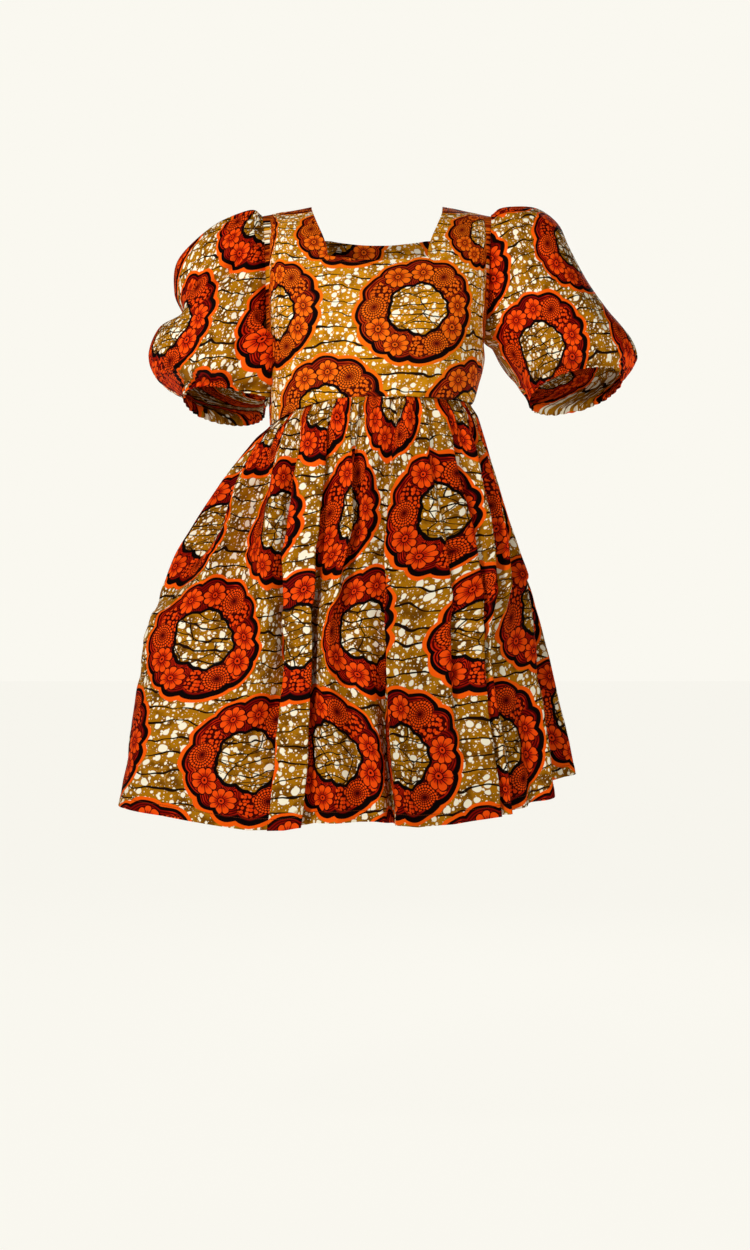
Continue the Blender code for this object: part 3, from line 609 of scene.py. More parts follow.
def make_shell(name, points, cloth, closed=False, gone=None, normals=None):
    """A closed thin wall under a grid of outer points. cloth holds each point's place on the cut
    cloth in metres, with one more column than points where the grid closes on itself."""
    rows, columns = points.shape[:2]
    if normals is None:
        normals = grid_normals(points, closed, gone)
    index = np.arange(rows * columns).reshape(rows, columns)
    corners = np.stack(corners_of(wrapped(index) if closed else index), axis=2)
    places = np.stack(corners_of(cloth), axis=2)
    keep = np.ones(corners.shape[:2], bool) if gone is None else ~gone
    outer = corners[keep]
    outer_uv = places[keep]
    used = np.unique(outer)
    renumber = np.zeros(rows * columns, int)
    renumber[used] = np.arange(len(used))
    outer = renumber[outer]
    flat = points.reshape(-1, 3)[used]
    inner = flat - WALL * normals.reshape(-1, 3)[used]
    count = len(used)
    starts = outer.ravel()
    ends = np.roll(outer, -1, axis=1).ravel()
    edge = ~np.isin(starts * count + ends, ends * count + starts)
    a, b = starts[edge], ends[edge]
    a_uv = outer_uv.reshape(-1, 2)[edge]
    b_uv = np.roll(outer_uv, -1, axis=1).reshape(-1, 2)[edge]
    rim = np.stack([b, a, a + count, b + count], axis=1)
    rim_uv = np.stack([b_uv, a_uv, a_uv, b_uv], axis=1)
    faces = np.concatenate([outer, outer[:, ::-1] + count, rim])
    uvs = np.concatenate([outer_uv, outer_uv[:, ::-1], rim_uv])
    return make_mesh(name, np.concatenate([flat, inner]), faces, uvs)


def crease(cloth, lines):
    """Height of soft troughs and ridges: each line has its two ends on the cloth, its half width
    and its height, which is below 0 for a trough."""
    height = np.zeros(cloth.shape[:2])
    for u0, v0, u1, v1, width, rise in lines:
        run = np.array([u1 - u0, v1 - v0])
        span = np.linalg.norm(run)
        offset = cloth - [u0, v0]
        along = offset @ run / span ** 2
        beside = (offset[..., 0] * run[1] - offset[..., 1] * run[0]) / span
        swell = ease(along * 3) * ease((1 - along) * 3)
        height += rise * swell * np.exp(-(beside / width) ** 2)
    return height


def ripple(u, v, rise, seed, waves, longest, shortest):
    """Low uneven waves of about this rise that no two places share."""
    draw = np.random.default_rng(seed)
    total = np.zeros_like(u)
    for _ in range(waves):
        turn = draw.uniform(0, math.pi)
        pitch = draw.uniform(shortest, longest)
        phase = draw.uniform(0, 2 * math.pi)
        total += np.sin((u * math.cos(turn) + v * math.sin(turn)) * 2 * math.pi / pitch + phase)
    return rise * (total / waves ** 0.5 / 1.5)


def dress(piece, node, print_name="wax_print_cotton"):
    """The shell stands for its solid, which it hides, rides with it, and takes the printed cotton as
    its material.
    """
    piece.data.materials.append(cotton(print_name))
    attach(piece, "root")
    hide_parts(node)


# ---- sewing ---------------------------------------------------------------------------------

STITCH_PITCH = 0.0033    # from stitch to stitch
STITCH_SIZE = (0.0024, 0.00055, 0.0003)   # length, width and rise of one stitch
THREAD_DYE = dye("6A2A08")
HEM_DEPTH = 0.017        # of the turned-up edge
EDGE_LINES = 2           # grid lines between an edge and its stitches


@functools.cache
def thread():
    settings = {"Base Color": THREAD_DYE, "Roughness": 0.6, "Specular IOR Level": 0.1}
    return new_material("sewing_thread", settings)[0]


def stitch_line(name, path, normals):
    """A line of lockstitches lying on the cloth along a path."""
    run = lengths_along(path, 0)
    middles = np.arange(STITCH_PITCH / 2, run[-1], STITCH_PITCH)
    length, width, rise = STITCH_SIZE

    def at(values, where):
        return np.stack([np.interp(where, run, values[:, k]) for k in range(3)], axis=-1)

    first = at(path, middles - length / 2)
    last = at(path, middles + length / 2)
    up = unit(at(normals, middles))
    beside = unit(np.cross(unit(last - first), up)) * width / 2
    lift = up * rise
    corners = [first - beside, first + beside, last + beside, last - beside]
    vertices = np.stack([c - lift * 0.5 for c in corners] + [c + lift for c in corners], axis=1)
    box = np.array([[3, 2, 1, 0], [4, 5, 6, 7], [0, 1, 5, 4], [1, 2, 6, 5], [2, 3, 7, 6], [3, 0, 4, 7]])
    faces = (np.arange(len(middles))[:, None, None] * 8 + box).reshape(-1, 4)
    piece = make_mesh(name, vertices.reshape(-1, 3), faces)
    piece.data.materials.append(thread())
    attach(piece, "root")


def stitch_neck(name, points, normals, sides, row):
    """Topstitching down one strap, across under the neckline and up the other. sides holds the
    first and last column across, and whether the line runs along a strap at each: it doesn't at
    the middle of the back."""
    start, end, start_strap, end_strap = sides
    path = [(i, start) for i in range(row + 1)] if start_strap else []
    step = 1 if end > start else -1
    path += [(row, j) for j in range(start, end + step, step)]
    path += [(i, end) for i in range(row, -1, -1)] if end_strap else []
    rows, columns = np.array(path).T
    stitch_line(name, points[rows, columns], normals[rows, columns])


# ---- bodice ---------------------------------------------------------------------------------

PRINT_BODICE = (0.064, -0.173)  # where a ring's middle lies, x and z
PRINT_WIDER = 0.98       # printed cloth for each metre of surface, across and down
PRINT_LONGER = 1.10
PRINT_LEAN = 0.13        # sideways for each metre down
BODICE_RIPPLE = (0.0007, 3, 14, 0.09, 0.03)  # rise, seed, waves, longest and shortest of them
CALM_EDGE = 0.1          # share of the width beside the seams where creases and ripples die out
BODICE_CREASES = [
    # from u, v to u, v, half width, height
    (-0.17, 0.1, -0.09, 0.16, 0.01, -0.0022),
    (-0.18, 0.14, -0.07, 0.21, 0.012, -0.002),
    (-0.17, 0.2, -0.06, 0.26, 0.009, 0.0016),
    (0.19, 0.11, 0.09, 0.16, 0.011, -0.002),
    (0.2, 0.16, 0.07, 0.22, 0.012, -0.0022),
    (0.18, 0.22, 0.06, 0.27, 0.009, 0.0016),
    (-0.06, 0.24, -0.05, 0.3, 0.006, 0.0016),
    (0.01, 0.25, 0.015, 0.3, 0.007, 0.0014),
    (0.07, 0.24, 0.065, 0.3, 0.006, 0.0015),
]


def torso(height):
    """Left x, right x, front y and back y of the bodice at each height."""
    return smooth(column(BODICE, 0), [row[1:] for row in BODICE], height).T


def seam_height(x, y):
    """Height of the waist seam, by the direction from the middle of the waist."""
    turn = np.arctan2(y - WAIST_MIDDLE[1], WAIST_MIDDLE[0] - x)
    return WAIST_SIDE_Z - WAIST_DROP * ((1 + np.cos(turn)) / 2) ** WAIST_DROP_POWER


def edge_y(height, reach_y):
    """Depth of the side seam, and above the underarm of the armhole's edge."""
    middle = (UNDERARM_Z + SHOULDER_Z) / 2
    half = (SHOULDER_Z - UNDERARM_Z) / 2
    away = np.abs((height - middle) / half) ** ARMHOLE_POWER
    return SHOULDER_Y + reach_y * np.where(height > UNDERARM_Z, np.maximum(0, 1 - away), 0) ** 0.5


def bodice_points(heights, turns, side, neck_z):
    """Grid of points; turns has a row for each height, from -1 at the left edge to 1 at the right."""
    left, right, front, back = [value[:, None] for value in torso(heights)]
    height = np.asarray(heights)[:, None]
    half = np.where(turns > 0, right - NECK_X, NECK_X - left)
    edge = edge_y(height, -ARMHOLE_FRONT if side < 0 else ARMHOLE_BACK)
    deepest = front if side < 0 else back
    angle = np.abs(turns) * math.pi / 2
    x = NECK_X + np.sign(turns) * half * np.sin(angle) ** (2 / BODICE_POWER)
    level = np.where(np.abs(turns) < 1, np.maximum(np.cos(angle), 0), 0) ** (2 / BODICE_POWER)
    y = edge + (deepest - edge) * level
    rise = SHOULDER_RISE * ease((height - SHOULDER_RISE_FROM_Z) / (SHOULDER_Z - SHOULDER_RISE_FROM_Z))
    z = height + rise * np.minimum(1.0, (half - np.abs(x - NECK_X)) / (half - NECK_TOP))
    sag = NECK_SAG * ease((height - NECK_SAG_FROM_Z) / (neck_z - NECK_SAG_FROM_Z))
    z = z - sag * np.maximum(0.0, 1 - ((x - NECK_X) / NECK_FRONT_LOW) ** 2)
    low = ease((WAIST_BLEND_Z - height) / (WAIST_BLEND_Z - WAIST_Z))
    z = z + (seam_height(x, y) + SEAM_GAP / 2 - z) * low
    return np.stack([x, y, z], axis=-1)


def bodice_turns(height, low_half, low_z):
    """Columns of half a bodice: across the neck opening, then across the strap."""
    left, right = torso([height])[:2, 0]
    half = (right - left) / 2
    share = ease((height - low_z) / (SHOULDER_Z - low_z))
    neck = (low_half + (NECK_TOP - low_half) * share) / half
    neck_turn = math.asin(min(1, neck) ** (BODICE_POWER / 2)) / (math.pi / 2)
    across = neck_turn * np.linspace(0, 1, FINE_NECK + 1)
    return np.concatenate([across[:-1], np.linspace(neck_turn, 1, FINE_STRAP + 1)])


def bodice_print(points, side):
    """Places on the printed cloth: across by x, with more cloth where the side turns away, and
    down by height, with more cloth over the shoulder."""
    x, z = PRINT_BODICE
    level = bodice_points([UNDERARM_Z], np.linspace(0, 1, 80)[None, :], side, NECK_FRONT_Z)[0]
    run = lengths_along(level, 0)
    heights = np.linspace(-0.36, 0.01, 75)
    outline = np.stack([heights, torso(heights)[2 if side < 0 else 3]], axis=-1)
    fall = lengths_along(outline, 0)

    def across(place):
        return np.sign(place) * np.interp(np.abs(place), level[:, 0] - NECK_X, run) * PRINT_WIDER

    u = (across(points[..., 0] - NECK_X) - across(x - NECK_X)) * -side
    v = (np.interp(z, heights, fall) - np.interp(points[..., 2], heights, fall)) * PRINT_LONGER
    return np.stack([u + PRINT_LEAN * v, v], axis=-1)


def bodice_piece(name, side, low_half, low_z, halves):
    """halves says which sides of the middle the piece has: -1 and 1, or one of them."""
    above = np.linspace(SHOULDER_Z, low_z, FINE_ABOVE + 1)
    below = np.linspace(low_z, WAIST_Z, FINE_BELOW + 1)
    heights = np.concatenate([above[:-1], below])
    half = np.array([bodice_turns(height, low_half, low_z) for height in heights])
    parts = []
    if -1 in halves:
        parts.append(-half[:, ::-1])
    if 1 in halves:
        parts.append(half[:, 1:] if parts else half)
    turns = np.concatenate(parts, axis=1)
    if side > 0:
        turns = turns[:, ::-1]
    points = bodice_points(heights, turns, side, low_z)
    middle = (turns[:-1, :-1] + turns[1:, 1:]) / 2
    neck_turn = half[:, FINE_NECK]
    gone = np.abs(middle) < ((neck_turn[:-1] + neck_turn[1:]) / 2)[:, None]
    gone &= (np.arange(len(heights) - 1) < FINE_ABOVE)[:, None]
    across = lengths_along(points, 1)
    start = np.array([np.interp(0, row * side, line) if 0 in row else line[0]
                      for row, line in zip(-turns * side, across)])
    u = across - start[:, None]
    v = lengths_along(points, 0).mean(axis=1, keepdims=True) + 0 * u
    place = np.stack([u, v], axis=-1)
    normals = grid_normals(points, gone=gone)
    height = crease(place, BODICE_CREASES) + ripple(u, v, *BODICE_RIPPLE)
    edge_fade = ease((1 - np.abs(turns)) / CALM_EDGE)
    points = points + normals * (height * edge_fade)[..., None]
    cloth = bodice_print(points, side)
    beside = half.shape[1] - 1 - FINE_NECK - EDGE_LINES
    last = points.shape[1] - 1
    ends = (beside if -1 in halves else 0, last - beside if 1 in halves else last)
    straps = (-1 in halves, 1 in halves)
    if side > 0:
        ends, straps = (last - ends[1], last - ends[0]), straps[::-1]
    stitch_neck(name + "_neck_stitches", points, normals, ends + straps, FINE_ABOVE + EDGE_LINES)
    piece = make_shell(name + "_cloth", points, cloth, gone=gone)
    # the bodice takes the lighter copy of the dyes: painted light from above
    dress(piece, name, "wax_print_cotton_bodice_painted_light")


def make_bodice():
    bodice_piece("bodice_front", -1, NECK_FRONT_LOW, NECK_FRONT_Z, (-1, 1))
    for side_name, half in (("right", -1), ("left", 1)):
        name = "bodice_back_" + side_name
        bodice_piece(name, 1, NECK_BACK_LOW, NECK_BACK_Z, (half,))


# ---- skirt ----------------------------------------------------------------------------------

SKIRT_LENGTH = 0.640     # of the cloth, from the waist seam to the hem
PRINT_SKIRT = (-0.100, -0.168, 0.945)   # ring's place across and down, and the stretch down
HEM_LIFT = 0.0006        # the hem, turned up twice, stands out by this
FINE_SKIRT_ROWS = 128
FINE_SKIRT_COLUMNS = 380  # in each half
STEEP_FOLDS = [
    # fold line, half width, then the shift along the cloth at each level: over at a crest, under at
    # a valley
    (6, 0.014, 0, 0.001, 0.002, 0.004, 0.004),
    (7, 0.014, 0, -0.002, -0.003, -0.005, -0.005),
    (8, 0.013, 0.001, 0.006, 0.005, 0.008, 0.006),
    (9, 0.013, 0, -0.005, -0.002, -0.008, -0.006),
    (10, 0.014, 0, 0.003, 0, 0, 0),
    (11, 0.014, 0, -0.003, 0, 0, 0),
    (13, 0.014, 0.001, 0.002, 0.005, 0.005, 0.005),
    (14, 0.014, -0.001, -0.003, -0.006, -0.005, -0.005),
    (18, 0.013, 0, 0.001, 0.003, 0.003, 0.003),
    (19, 0.013, 0, -0.001, 0, -0.001, -0.002),
]
CRISP = 0.75             # share of a straight line between the steep folds' tips
CRISP_FROM_DROP = 0.15   # they have it all from this drop on
GATHERS_SINK = 0.0035    # the seam draws the cloth in between the puffs
SKIRT_RIPPLE = (0.0010, 5, 18, 0.16, 0.05)   # rise, seed, waves, longest and shortest of them
CALM_DROP = 0.12         # creases and ripples have their whole height from this drop on
ROW_POWER = 1.12         # rows lie closer together near the waist
GATHERS_SEED = 11
GATHER_PITCHES = (0.030, 0.054)
GATHER_HEIGHTS = (0.006, 0.0115)
GATHER_LENGTHS = (0.10, 0.42)    # as shares of the drop
SKIRT_CREASES = [
    # from u, v to u, v, half width, height: pulled from the side where the skirt is held out
    (0.02, 0.3, 0.3, 0.06, 0.012, -0.004),
    (0, 0.33, 0.26, 0.2, 0.014, -0.0035),
    (0.01, 0.36, 0.3, 0.36, 0.012, 0.0025),
    (0.02, 0.38, 0.26, 0.5, 0.015, -0.003),
    (0.01, 0.4, 0.17, 0.62, 0.014, -0.0028),
    (0.62, 0.05, 0.63, 0.2, 0.01, -0.0024),
    (0.8, 0.04, 0.81, 0.22, 0.008, -0.003),
    (0.99, 0.08, 1.03, 0.3, 0.011, -0.003),
    (0.22, 0.42, 0.25, 0.64, 0.01, 0.003),
]


def skirt_folds():
    """Sign, places on the cloth and angles at the levels of each fold line, once round."""
    levels = np.ones(len(SKIRT_LEVELS))
    folds = [(sign, levels * places, angles) for sign, places, angles in FRONT_FOLDS]
    start = folds[-1][2]
    end = [angle + 360 for angle in folds[0][2]]
    for k in range(1, BACK_FOLDS):
        even = k / BACK_FOLDS
        uneven = BACK_UNEVEN * math.sin(5.1 * k) * math.sin(math.pi * even)
        sign = 0 if 2 * k == BACK_FOLDS else (-1) ** k
        angles = [a + (b - a) * (even + uneven) for a, b in zip(start, end)]
        folds.append((sign, levels * (PANEL * (1 + even)), angles))
    return folds


def base_points(angle, extent):
    """Plain section without folds. The pinch draws its held-out side to a point, which swings
    forward of the middle."""
    left, right, front, back, pinch, swing = extent
    turn = np.radians(angle)
    along = np.cos(turn)
    power = np.where(along > 0, pinch, 1.0)
    x = (left + right) / 2 - (right - left) / 2 * np.sign(along) * np.abs(along) ** power
    depth = np.where(np.sin(turn) > 0, -front, back)
    point = np.where(along > 0, -swing, 0.0)
    y = point - (depth * np.sin(turn) + point * np.abs(np.sin(turn)))
    return np.stack([x, y], axis=-1)


def outward_of(line):
    """Unit vectors to the outside of a closed level line."""
    ahead = unit(np.roll(line, -1, axis=0) - np.roll(line, 1, axis=0))
    return np.stack([ahead[:, 1], -ahead[:, 0]], axis=-1)


def skirt_section(drop, cloth, folds):
    """Points of the section at the given places on the cloth, and their angles."""
    signs = np.array([fold[0] for fold in folds], float)
    places = smooth(SKIRT_LEVELS, np.array([fold[1] for fold in folds]).T, drop)[0]
    angles = smooth(SKIRT_LEVELS, np.array([fold[2] for fold in folds], float).T, drop)[0]
    extent = smooth(column(SKIRT, 0), [row[1:] for row in SKIRT], drop)[0]
    base = base_points(angles, extent)
    run = np.linalg.norm(np.roll(base, -1, axis=0) - base, axis=1)
    widths = np.diff(np.append(places, 2 * PANEL))
    spare = np.sqrt(np.maximum(widths ** 2 - run ** 2, 0)) * (signs != np.roll(signs, -1))
    depth = np.minimum(FOLD_FULLNESS * (spare + np.roll(spare, 1)) / 2, FOLD_LIMIT)
    depth *= FOLD_AT_SEAM + (1 - FOLD_AT_SEAM) * ease(drop / FOLD_FULL_DROP)
    ahead = unit(base_points(angles + 0.5, extent) - base_points(angles - 0.5, extent))
    outward = np.stack([ahead[:, 1], -ahead[:, 0]], axis=-1)
    tips = np.column_stack([base + outward * (signs * depth)[:, None], angles])
    tips = np.vstack([tips[-2:] - [0, 0, 360], tips, tips[:3] + [0, 0, 360]])
    around = np.concatenate([places[-2:] - 2 * PANEL, places, places[:3] + 2 * PANEL])
    line = smooth(around, tips, cloth)
    straight = np.stack([np.interp(cloth, around, tips[:, k]) for k in range(2)], axis=-1)
    crisp = np.zeros(len(cloth))
    shift = np.zeros(len(cloth))
    for line_number, half_width, *shifts in STEEP_FOLDS:
        near = np.exp(-((cloth - places[line_number]) / half_width) ** 2)
        shift += near * smooth(SKIRT_LEVELS, shifts, drop)[0, 0]
        crisp = np.maximum(crisp, near ** 0.4)
    crisp *= CRISP * ease(drop / CRISP_FROM_DROP)
    flat = line[:, :2] + (straight - line[:, :2]) * crisp[:, None]
    plain = base_points(line[:, 2], extent)
    ahead = unit(np.roll(plain, -3, axis=0) - np.roll(plain, 3, axis=0))
    flat = flat + ahead * shift[:, None]
    left, right, front, back = extent[:4]
    low, high = flat.min(axis=0), flat.max(axis=0)
    flat = (flat - low) / (high - low) * [right - left, back - front] + [left, front]
    return flat, line[:, 2]


def gather_heights(drops, cloth):
    """Puffs between the stitches of the waist seam: a row for each drop."""
    draw = np.random.default_rng(GATHERS_SEED)
    edges = [0.0]
    while edges[-1] < 2 * PANEL - GATHER_PITCHES[1]:
        edges.append(edges[-1] + draw.uniform(*GATHER_PITCHES))
    edges[-1] = 2 * PANEL
    edges = np.array(edges)
    count = len(edges) - 1
    tall = draw.uniform(*GATHER_HEIGHTS, count)
    long = draw.uniform(*GATHER_LENGTHS, count)
    which, share = spans(edges, cloth)
    puff = 1 - np.abs(2 * share - 1) ** 1.8
    drop = np.asarray(drops)[:, None]
    swell = 0.35 + 0.65 * ease(drop / 0.035)
    fade = 1 - ease(drop / long[which])
    return tall[which] * puff * swell * fade - GATHERS_SINK * fade


def hem_height(angle):
    first = HEM[0][0]
    around = column(HEM, 0) + [first + 360]
    heights = column(HEM, 1) + [HEM[0][1]]
    return np.interp((angle - first) % 360 + first, around, heights)


def skirt_grid():
    """Points of the whole skirt and their places on the cloth, once round."""
    total = 2 * FINE_SKIRT_COLUMNS
    cloth = np.arange(total) * 2 * PANEL / total
    drops = np.linspace(0, 1, FINE_SKIRT_ROWS + 1) ** ROW_POWER
    folds = skirt_folds()
    seam, _ = skirt_section(0.0, cloth, folds)
    top = seam_height(seam[:, 0], seam[:, 1])
    rows = []
    for drop, gathers in zip(drops, gather_heights(drops, cloth)):
        flat, angles = skirt_section(drop, cloth, folds)
        flat = flat + outward_of(flat) * gathers[:, None]
        height = top * (1 - drop) + hem_height(angles) * drop - SEAM_GAP / 2
        rows.append(np.column_stack([flat, height]))
    points = np.array(rows)
    u, v = np.meshgrid(cloth, drops * SKIRT_LENGTH)
    place = np.stack([u, v], axis=-1)
    fade = ease(drops / CALM_DROP)[:, None]
    lift = crease(place, SKIRT_CREASES) * fade + ripple(u, v, *SKIRT_RIPPLE) * fade
    lift += HEM_LIFT * ease((v - SKIRT_LENGTH + HEM_DEPTH) / 0.003)
    points = points + grid_normals(points, closed=True) * lift[..., None]
    return points, place


def make_skirt():
    points, place = skirt_grid()
    normals = grid_normals(points, closed=True)
    total = points.shape[1]
    half = total // 2
    quarter = half // 2
    u0, v0, stretch = PRINT_SKIRT
    for name, start, end, width in (
        ("skirt_front", 0, half, PANEL),
        ("skirt_back_left", half, half + quarter, PANEL / 2),
        ("skirt_back_right", half + quarter, total, PANEL / 2),
    ):
        columns = np.arange(start, end + 1) % total
        cut = points[:, columns]
        u = np.linspace(start, end, end - start + 1)[None, :] * (2 * PANEL / total)
        u = u + 0 * cut[..., 0]
        v = place[:, columns, 1]
        cloth = np.stack([u + u0, v * stretch + v0], axis=-1)
        piece = make_shell(name + "_cloth", cut, cloth, normals=normals[:, columns])
        dress(piece, name)
        row = np.argmin(np.abs(v[:, 0] - SKIRT_LENGTH + HEM_DEPTH))
        stitch_line(name + "_hem_stitches", cut[row], normals[row, columns])


# ---- sleeves --------------------------------------------------------------------------------

FINE_SLEEVE_ROWS = 96
FINE_SLEEVE_COLUMNS = 260
SLEEVE_WIDTH = 0.60      # of the cut, from underarm seam to underarm seam
CAP_GATHERS = 28
CUFF_GATHERS = 34
# where a ring's middle lies on each sleeve, x and z, then the printed cloth for each metre of
# sleeve: across it for x and for z, and down it for x and for z
PRINT_SLEEVE_RIGHT = (-0.317, -0.188, 1.34, -0.52, 0.05, -1.06)
PRINT_SLEEVE_LEFT = (0.248, -0.226, 1.27, 0.25, 0.34, -1.09)
OVERLAP = 0.030          # the right sleeve's front swells over the edge of the bodice
OVERLAP_TURN = 2.45      # where it does so most, and over what width, in radians
OVERLAP_WIDTH = 0.33
CAP_PUFF = 0.0075        # tallest puffs under the armhole and over the cuff
CAP_REACH = 3.6          # sections that the longest of them run over
CUFF_PUFF = 0.0065
CUFF_REACH = 3.2
SLEEVE_CREASES = {
    # on the front, from x, z to x, z, half width, height: the fold between the right sleeve's two
    # lobes with the cloth lying over it, and pulls from both armholes
    -1: [
        (-0.185, -0.062, -0.268, -0.158, 0.007, -0.011),
        (-0.2, -0.055, -0.285, -0.148, 0.012, 0.007),
        (-0.183, -0.11, -0.215, -0.2, 0.008, -0.0035),
        (-0.19, -0.17, -0.22, -0.27, 0.008, -0.004),
        (-0.215, -0.2, -0.245, -0.28, 0.008, 0.0035),
        (-0.25, -0.235, -0.32, -0.225, 0.009, -0.004),
    ],
    1: [
        (0.185, -0.075, 0.235, -0.19, 0.008, -0.006),
        (0.196, -0.06, 0.262, -0.15, 0.009, 0.004),
        (0.215, -0.035, 0.29, -0.14, 0.008, -0.0055),
        (0.235, -0.15, 0.3, -0.235, 0.009, -0.005),
        (0.285, -0.12, 0.35, -0.215, 0.008, 0.004),
        (0.225, -0.19, 0.275, -0.262, 0.008, -0.004),
    ],
}


def armhole_points(turns, side):
    """The armhole, turns in radians from the shoulder tip over the front."""
    middle = (UNDERARM_Z + SHOULDER_Z) / 2
    half = (SHOULDER_Z - UNDERARM_Z) / 2
    height = middle + half * np.cos(turns)
    y = np.where(np.sin(turns) > 0, edge_y(height, -ARMHOLE_FRONT), edge_y(height, ARMHOLE_BACK))
    left, right, _, _ = torso(height)
    x = (right + ARMHOLE_GAP) if side > 0 else (left - ARMHOLE_GAP)
    return np.stack([x, y, height], axis=-1)


def sleeve_points(row, turns):
    """A sleeve section, turns in radians from its outer end over the front."""
    out_x, out_z, in_x, in_z, front, back, rise = row
    along, across = [np.sign(part) * np.abs(part) ** (2 / SLEEVE_POWER)
                     for part in (np.cos(turns), np.sin(turns))]
    share = (1 - along) / 2
    x = out_x + (in_x - out_x) * share
    z = out_z + (in_z - out_z) * share + rise * across
    return np.stack([x, (front + back) / 2 - (back - front) / 2 * across, z], axis=-1)


def puffs(turns, count, seed):
    """Uneven puffs once round, with sharp valleys between them, and a number for each place."""
    draw = np.random.default_rng(seed)
    edges = np.linspace(-math.pi, math.pi, count + 1)
    edges[1:-1] += draw.uniform(-0.28, 0.28, count - 1) * 2 * math.pi / count
    which, share = spans(edges, turns)
    return 1 - np.abs(2 * share - 1) ** 1.7, draw.uniform(0.55, 1.0, count)[which]


def sleeve_print(points, turns, print_place):
    """Places on the printed cloth, by x and z down the sleeve's front and by length round it."""
    x, z, across_x, across_z, down_x, down_z = print_place
    rates = np.array([[across_x, down_x], [across_z, down_z]])
    front = np.argmin(np.abs(turns - math.pi / 2))
    flat = points[..., [0, 2]]
    middle = (flat[:, front] - [x, z]) @ rates
    around = lengths_along(wrapped(points), 1)
    around -= around[:, front:front + 1]
    inward = unit(flat[:, 0] - flat[:, np.argmin(np.abs(turns))]) @ rates
    return middle[:, None] + around[..., None] * inward[:, None]


def sleeve_grid(side, rows, cuff_rows, valley, seed, print_place):
    """Points of sleeve and cuff together, from the underarm round over the front."""
    turns = (np.arange(FINE_SLEEVE_COLUMNS) / FINE_SLEEVE_COLUMNS * 2 - 1) * math.pi
    rings = [armhole_points(turns, side)] + [sleeve_points(row, turns) for row in rows + cuff_rows]
    rings = np.array(rings)
    seam = len(rows)
    at = np.concatenate([
        np.linspace(0, seam, FINE_SLEEVE_ROWS + 1),
        seam + np.linspace(0, len(cuff_rows), FINE_CUFF_ROWS + 1)[1:],
    ])
    flat = rings.reshape(len(rings), -1)
    points = smooth(np.arange(len(rings)), flat, at).reshape(len(at), len(turns), 3)
    cloth = sleeve_print(points, turns, print_place)
    away = points - points.mean(axis=1, keepdims=True)
    first = ease(1 - at)[:, None, None]
    away[..., 0] *= (1 - first[..., 0])
    away = unit(away)
    outer = GATHER_INNER + (1 - GATHER_INNER) * ease(np.cos(turns) + 1)
    cap, cap_size = puffs(turns, CAP_GATHERS, seed)
    cuff, cuff_size = puffs(turns, CUFF_GATHERS, seed + 1)
    row = at[:, None]
    cap_fade = (0.2 + 0.8 * ease(row / 0.5)) * (1 - ease(row / (CAP_REACH * cap_size)))
    past = row - seam
    sleeve_fade = ease((past + CUFF_REACH * cuff_size) / (3.0 * cuff_size))
    sleeve_fade = sleeve_fade * (1 - 0.4 * ease(past + 1))
    cuff_fade = np.where(past > 0, 0.55 + 0.1 * past, sleeve_fade)
    shift = CAP_PUFF * outer * cap_size * cap * cap_fade
    shift = shift + CUFF_PUFF * cuff_size * cuff * cuff_fade * (0.5 + 0.5 * outer)
    if valley:
        centre = SAG_START - SAG_SLOPE * np.abs(turns) / (math.pi / 2)
        fade = ease((SAG_END - np.abs(turns)) / SAG_FADE)
        shift = shift - SAG_VALLEY * fade * np.exp(-((row - centre) / SAG_WIDTH) ** 2)
    on_front = ease(np.sin(turns) * 4)
    shift = shift + crease(points[..., [0, 2]], SLEEVE_CREASES[side]) * on_front
    points = points + away * shift[..., None]
    if valley:
        over = OVERLAP * np.exp(-((turns - OVERLAP_TURN) / OVERLAP_WIDTH) ** 2)
        points[..., 0] += over * ease((row - 1.2) / 1.5)
    if side < 0:
        points = np.roll(points[:, ::-1], 1, axis=1)
        cloth = cloth[:, ::-1]
    return points, cloth, FINE_SLEEVE_ROWS


def make_sleeve(name, side, rows, cuff_rows, valley, seed, print_place):
    points, cloth, seam = sleeve_grid(side, rows, cuff_rows, valley, seed, print_place)
    normals = grid_normals(points, closed=True)
    for kind, first, last, flat, area in (
        ("sleeve", 0, seam, (SLEEVE_WIDTH, 0.36), 0.15),
        ("cuff", seam, len(points) - 1, (SLEEVE_WIDTH * 0.62, 0.03), None),
    ):
        node = f"{kind}_{name}"
        cut = slice(first, last + 1)
        piece = make_shell(node + "_cloth", points[cut], cloth[cut], closed=True, normals=normals[cut])
        dress(piece, node)
    row = seam + EDGE_LINES
    once_round = np.append(np.arange(points.shape[1]), 0)
    stitch_line(f"cuff_{name}_stitches", points[row, once_round], normals[row, once_round])


def make_sleeves():
    make_sleeve("right", -1, SLEEVE_RIGHT, CUFF_RIGHT, True, 21, PRINT_SLEEVE_RIGHT)
    make_sleeve("left", 1, SLEEVE_LEFT, CUFF_LEFT, False, 33, PRINT_SLEEVE_LEFT)


# ---- floor, light and camera ----------------------------------------------------------------

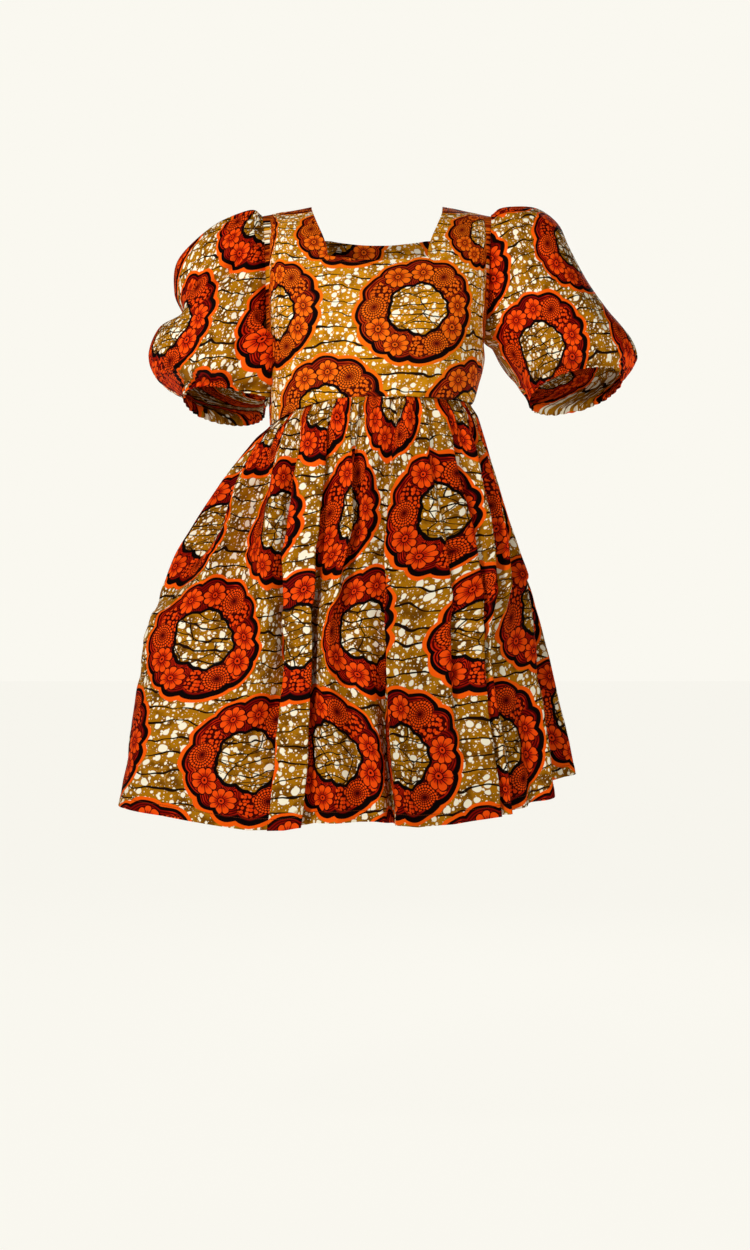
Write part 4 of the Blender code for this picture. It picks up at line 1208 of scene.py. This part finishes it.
BACKDROP = dye("FAF8F0")
FLOOR_Z = -1.45          # where the wearer's soles would be
FLOOR_HALF = 30.0        # half its width
FLOOR_PAINT = 0.04       # share of the floor's paleness that comes from light falling on it
FLOOR_GLOW = 0.97
AMBIENT = 0.07
LAMPS = [
    # name, place, target, power in watts, width
    ("key", (-0.95, -1.65, 0.60), (0.0, 0.0, -0.28), 29, 0.35),
    ("fill", (1.3, -1.9, 0.10), (0.0, 0.0, -0.45), 4, 0.9),
    ("front", (0.0, -3.0, -0.60), (0.0, 0.0, -0.60), 3, 1.2),
    ("back", (0.7, 2.3, 0.6), (0.0, 0.0, -0.45), 45, 1.2),
]
CAMERA_Y = -3.6
CAMERA_Z = -0.642
PICTURE_HEIGHT = 1250    # pixels
SENSOR_HEIGHT = 36       # and the lens, in millimetres
LENS = 67.3


def aim(holder, place, target):
    holder.location = place
    away = Vector(place) - Vector(target)
    holder.rotation_euler = away.to_track_quat("Z", "Y").to_euler()
    bpy.context.scene.collection.objects.link(holder)


def make_stage():
    half = FLOOR_HALF
    corners = np.array([(x, y, FLOOR_Z) for x, y in
                        ((-half, -half), (half, -half), (half, half), (-half, half))])
    floor = make_mesh("floor", corners, np.array([[0, 1, 2, 3]]))
    paint, _ = new_material("pale_floor", {
        "Base Color": [part * FLOOR_PAINT for part in BACKDROP[:3]] + [1],
        "Emission Color": BACKDROP,
        "Emission Strength": FLOOR_GLOW,
        "Roughness": 1.0,
        "Specular IOR Level": 0.0,
    })
    floor.data.materials.append(paint)

    world = bpy.data.worlds.new("studio")
    bpy.context.scene.world = world
    world.use_nodes = True
    tree = world.node_tree
    sky = tree.nodes["Background"]
    sky.inputs["Color"].default_value = BACKDROP
    seen = Formula(tree, add_node(tree, "LightPath").outputs["Is Camera Ray"])
    put(tree, sky.inputs["Strength"], seen * (1 - AMBIENT) + AMBIENT)

    for name, place, target, power, width in LAMPS:
        lamp = bpy.data.lights.new(name, "AREA")
        lamp.energy = power
        lamp.shape = "DISK"
        lamp.size = width
        aim(bpy.data.objects.new(name, lamp), place, target)

    lens = bpy.data.cameras.new("camera")
    lens.sensor_fit = "VERTICAL"
    lens.sensor_height = SENSOR_HEIGHT
    lens.lens = LENS
    lens.shift_x = -1 / PICTURE_HEIGHT
    camera = bpy.data.objects.new("camera", lens)
    camera.location = (0, CAMERA_Y, CAMERA_Z)
    camera.rotation_euler = (math.pi / 2, 0, 0)
    bpy.context.scene.collection.objects.link(camera)
    bpy.context.scene.camera = camera
    bpy.context.scene.view_settings.view_transform = "Standard"


make_bodice()
make_skirt()
make_sleeves()
make_stage()
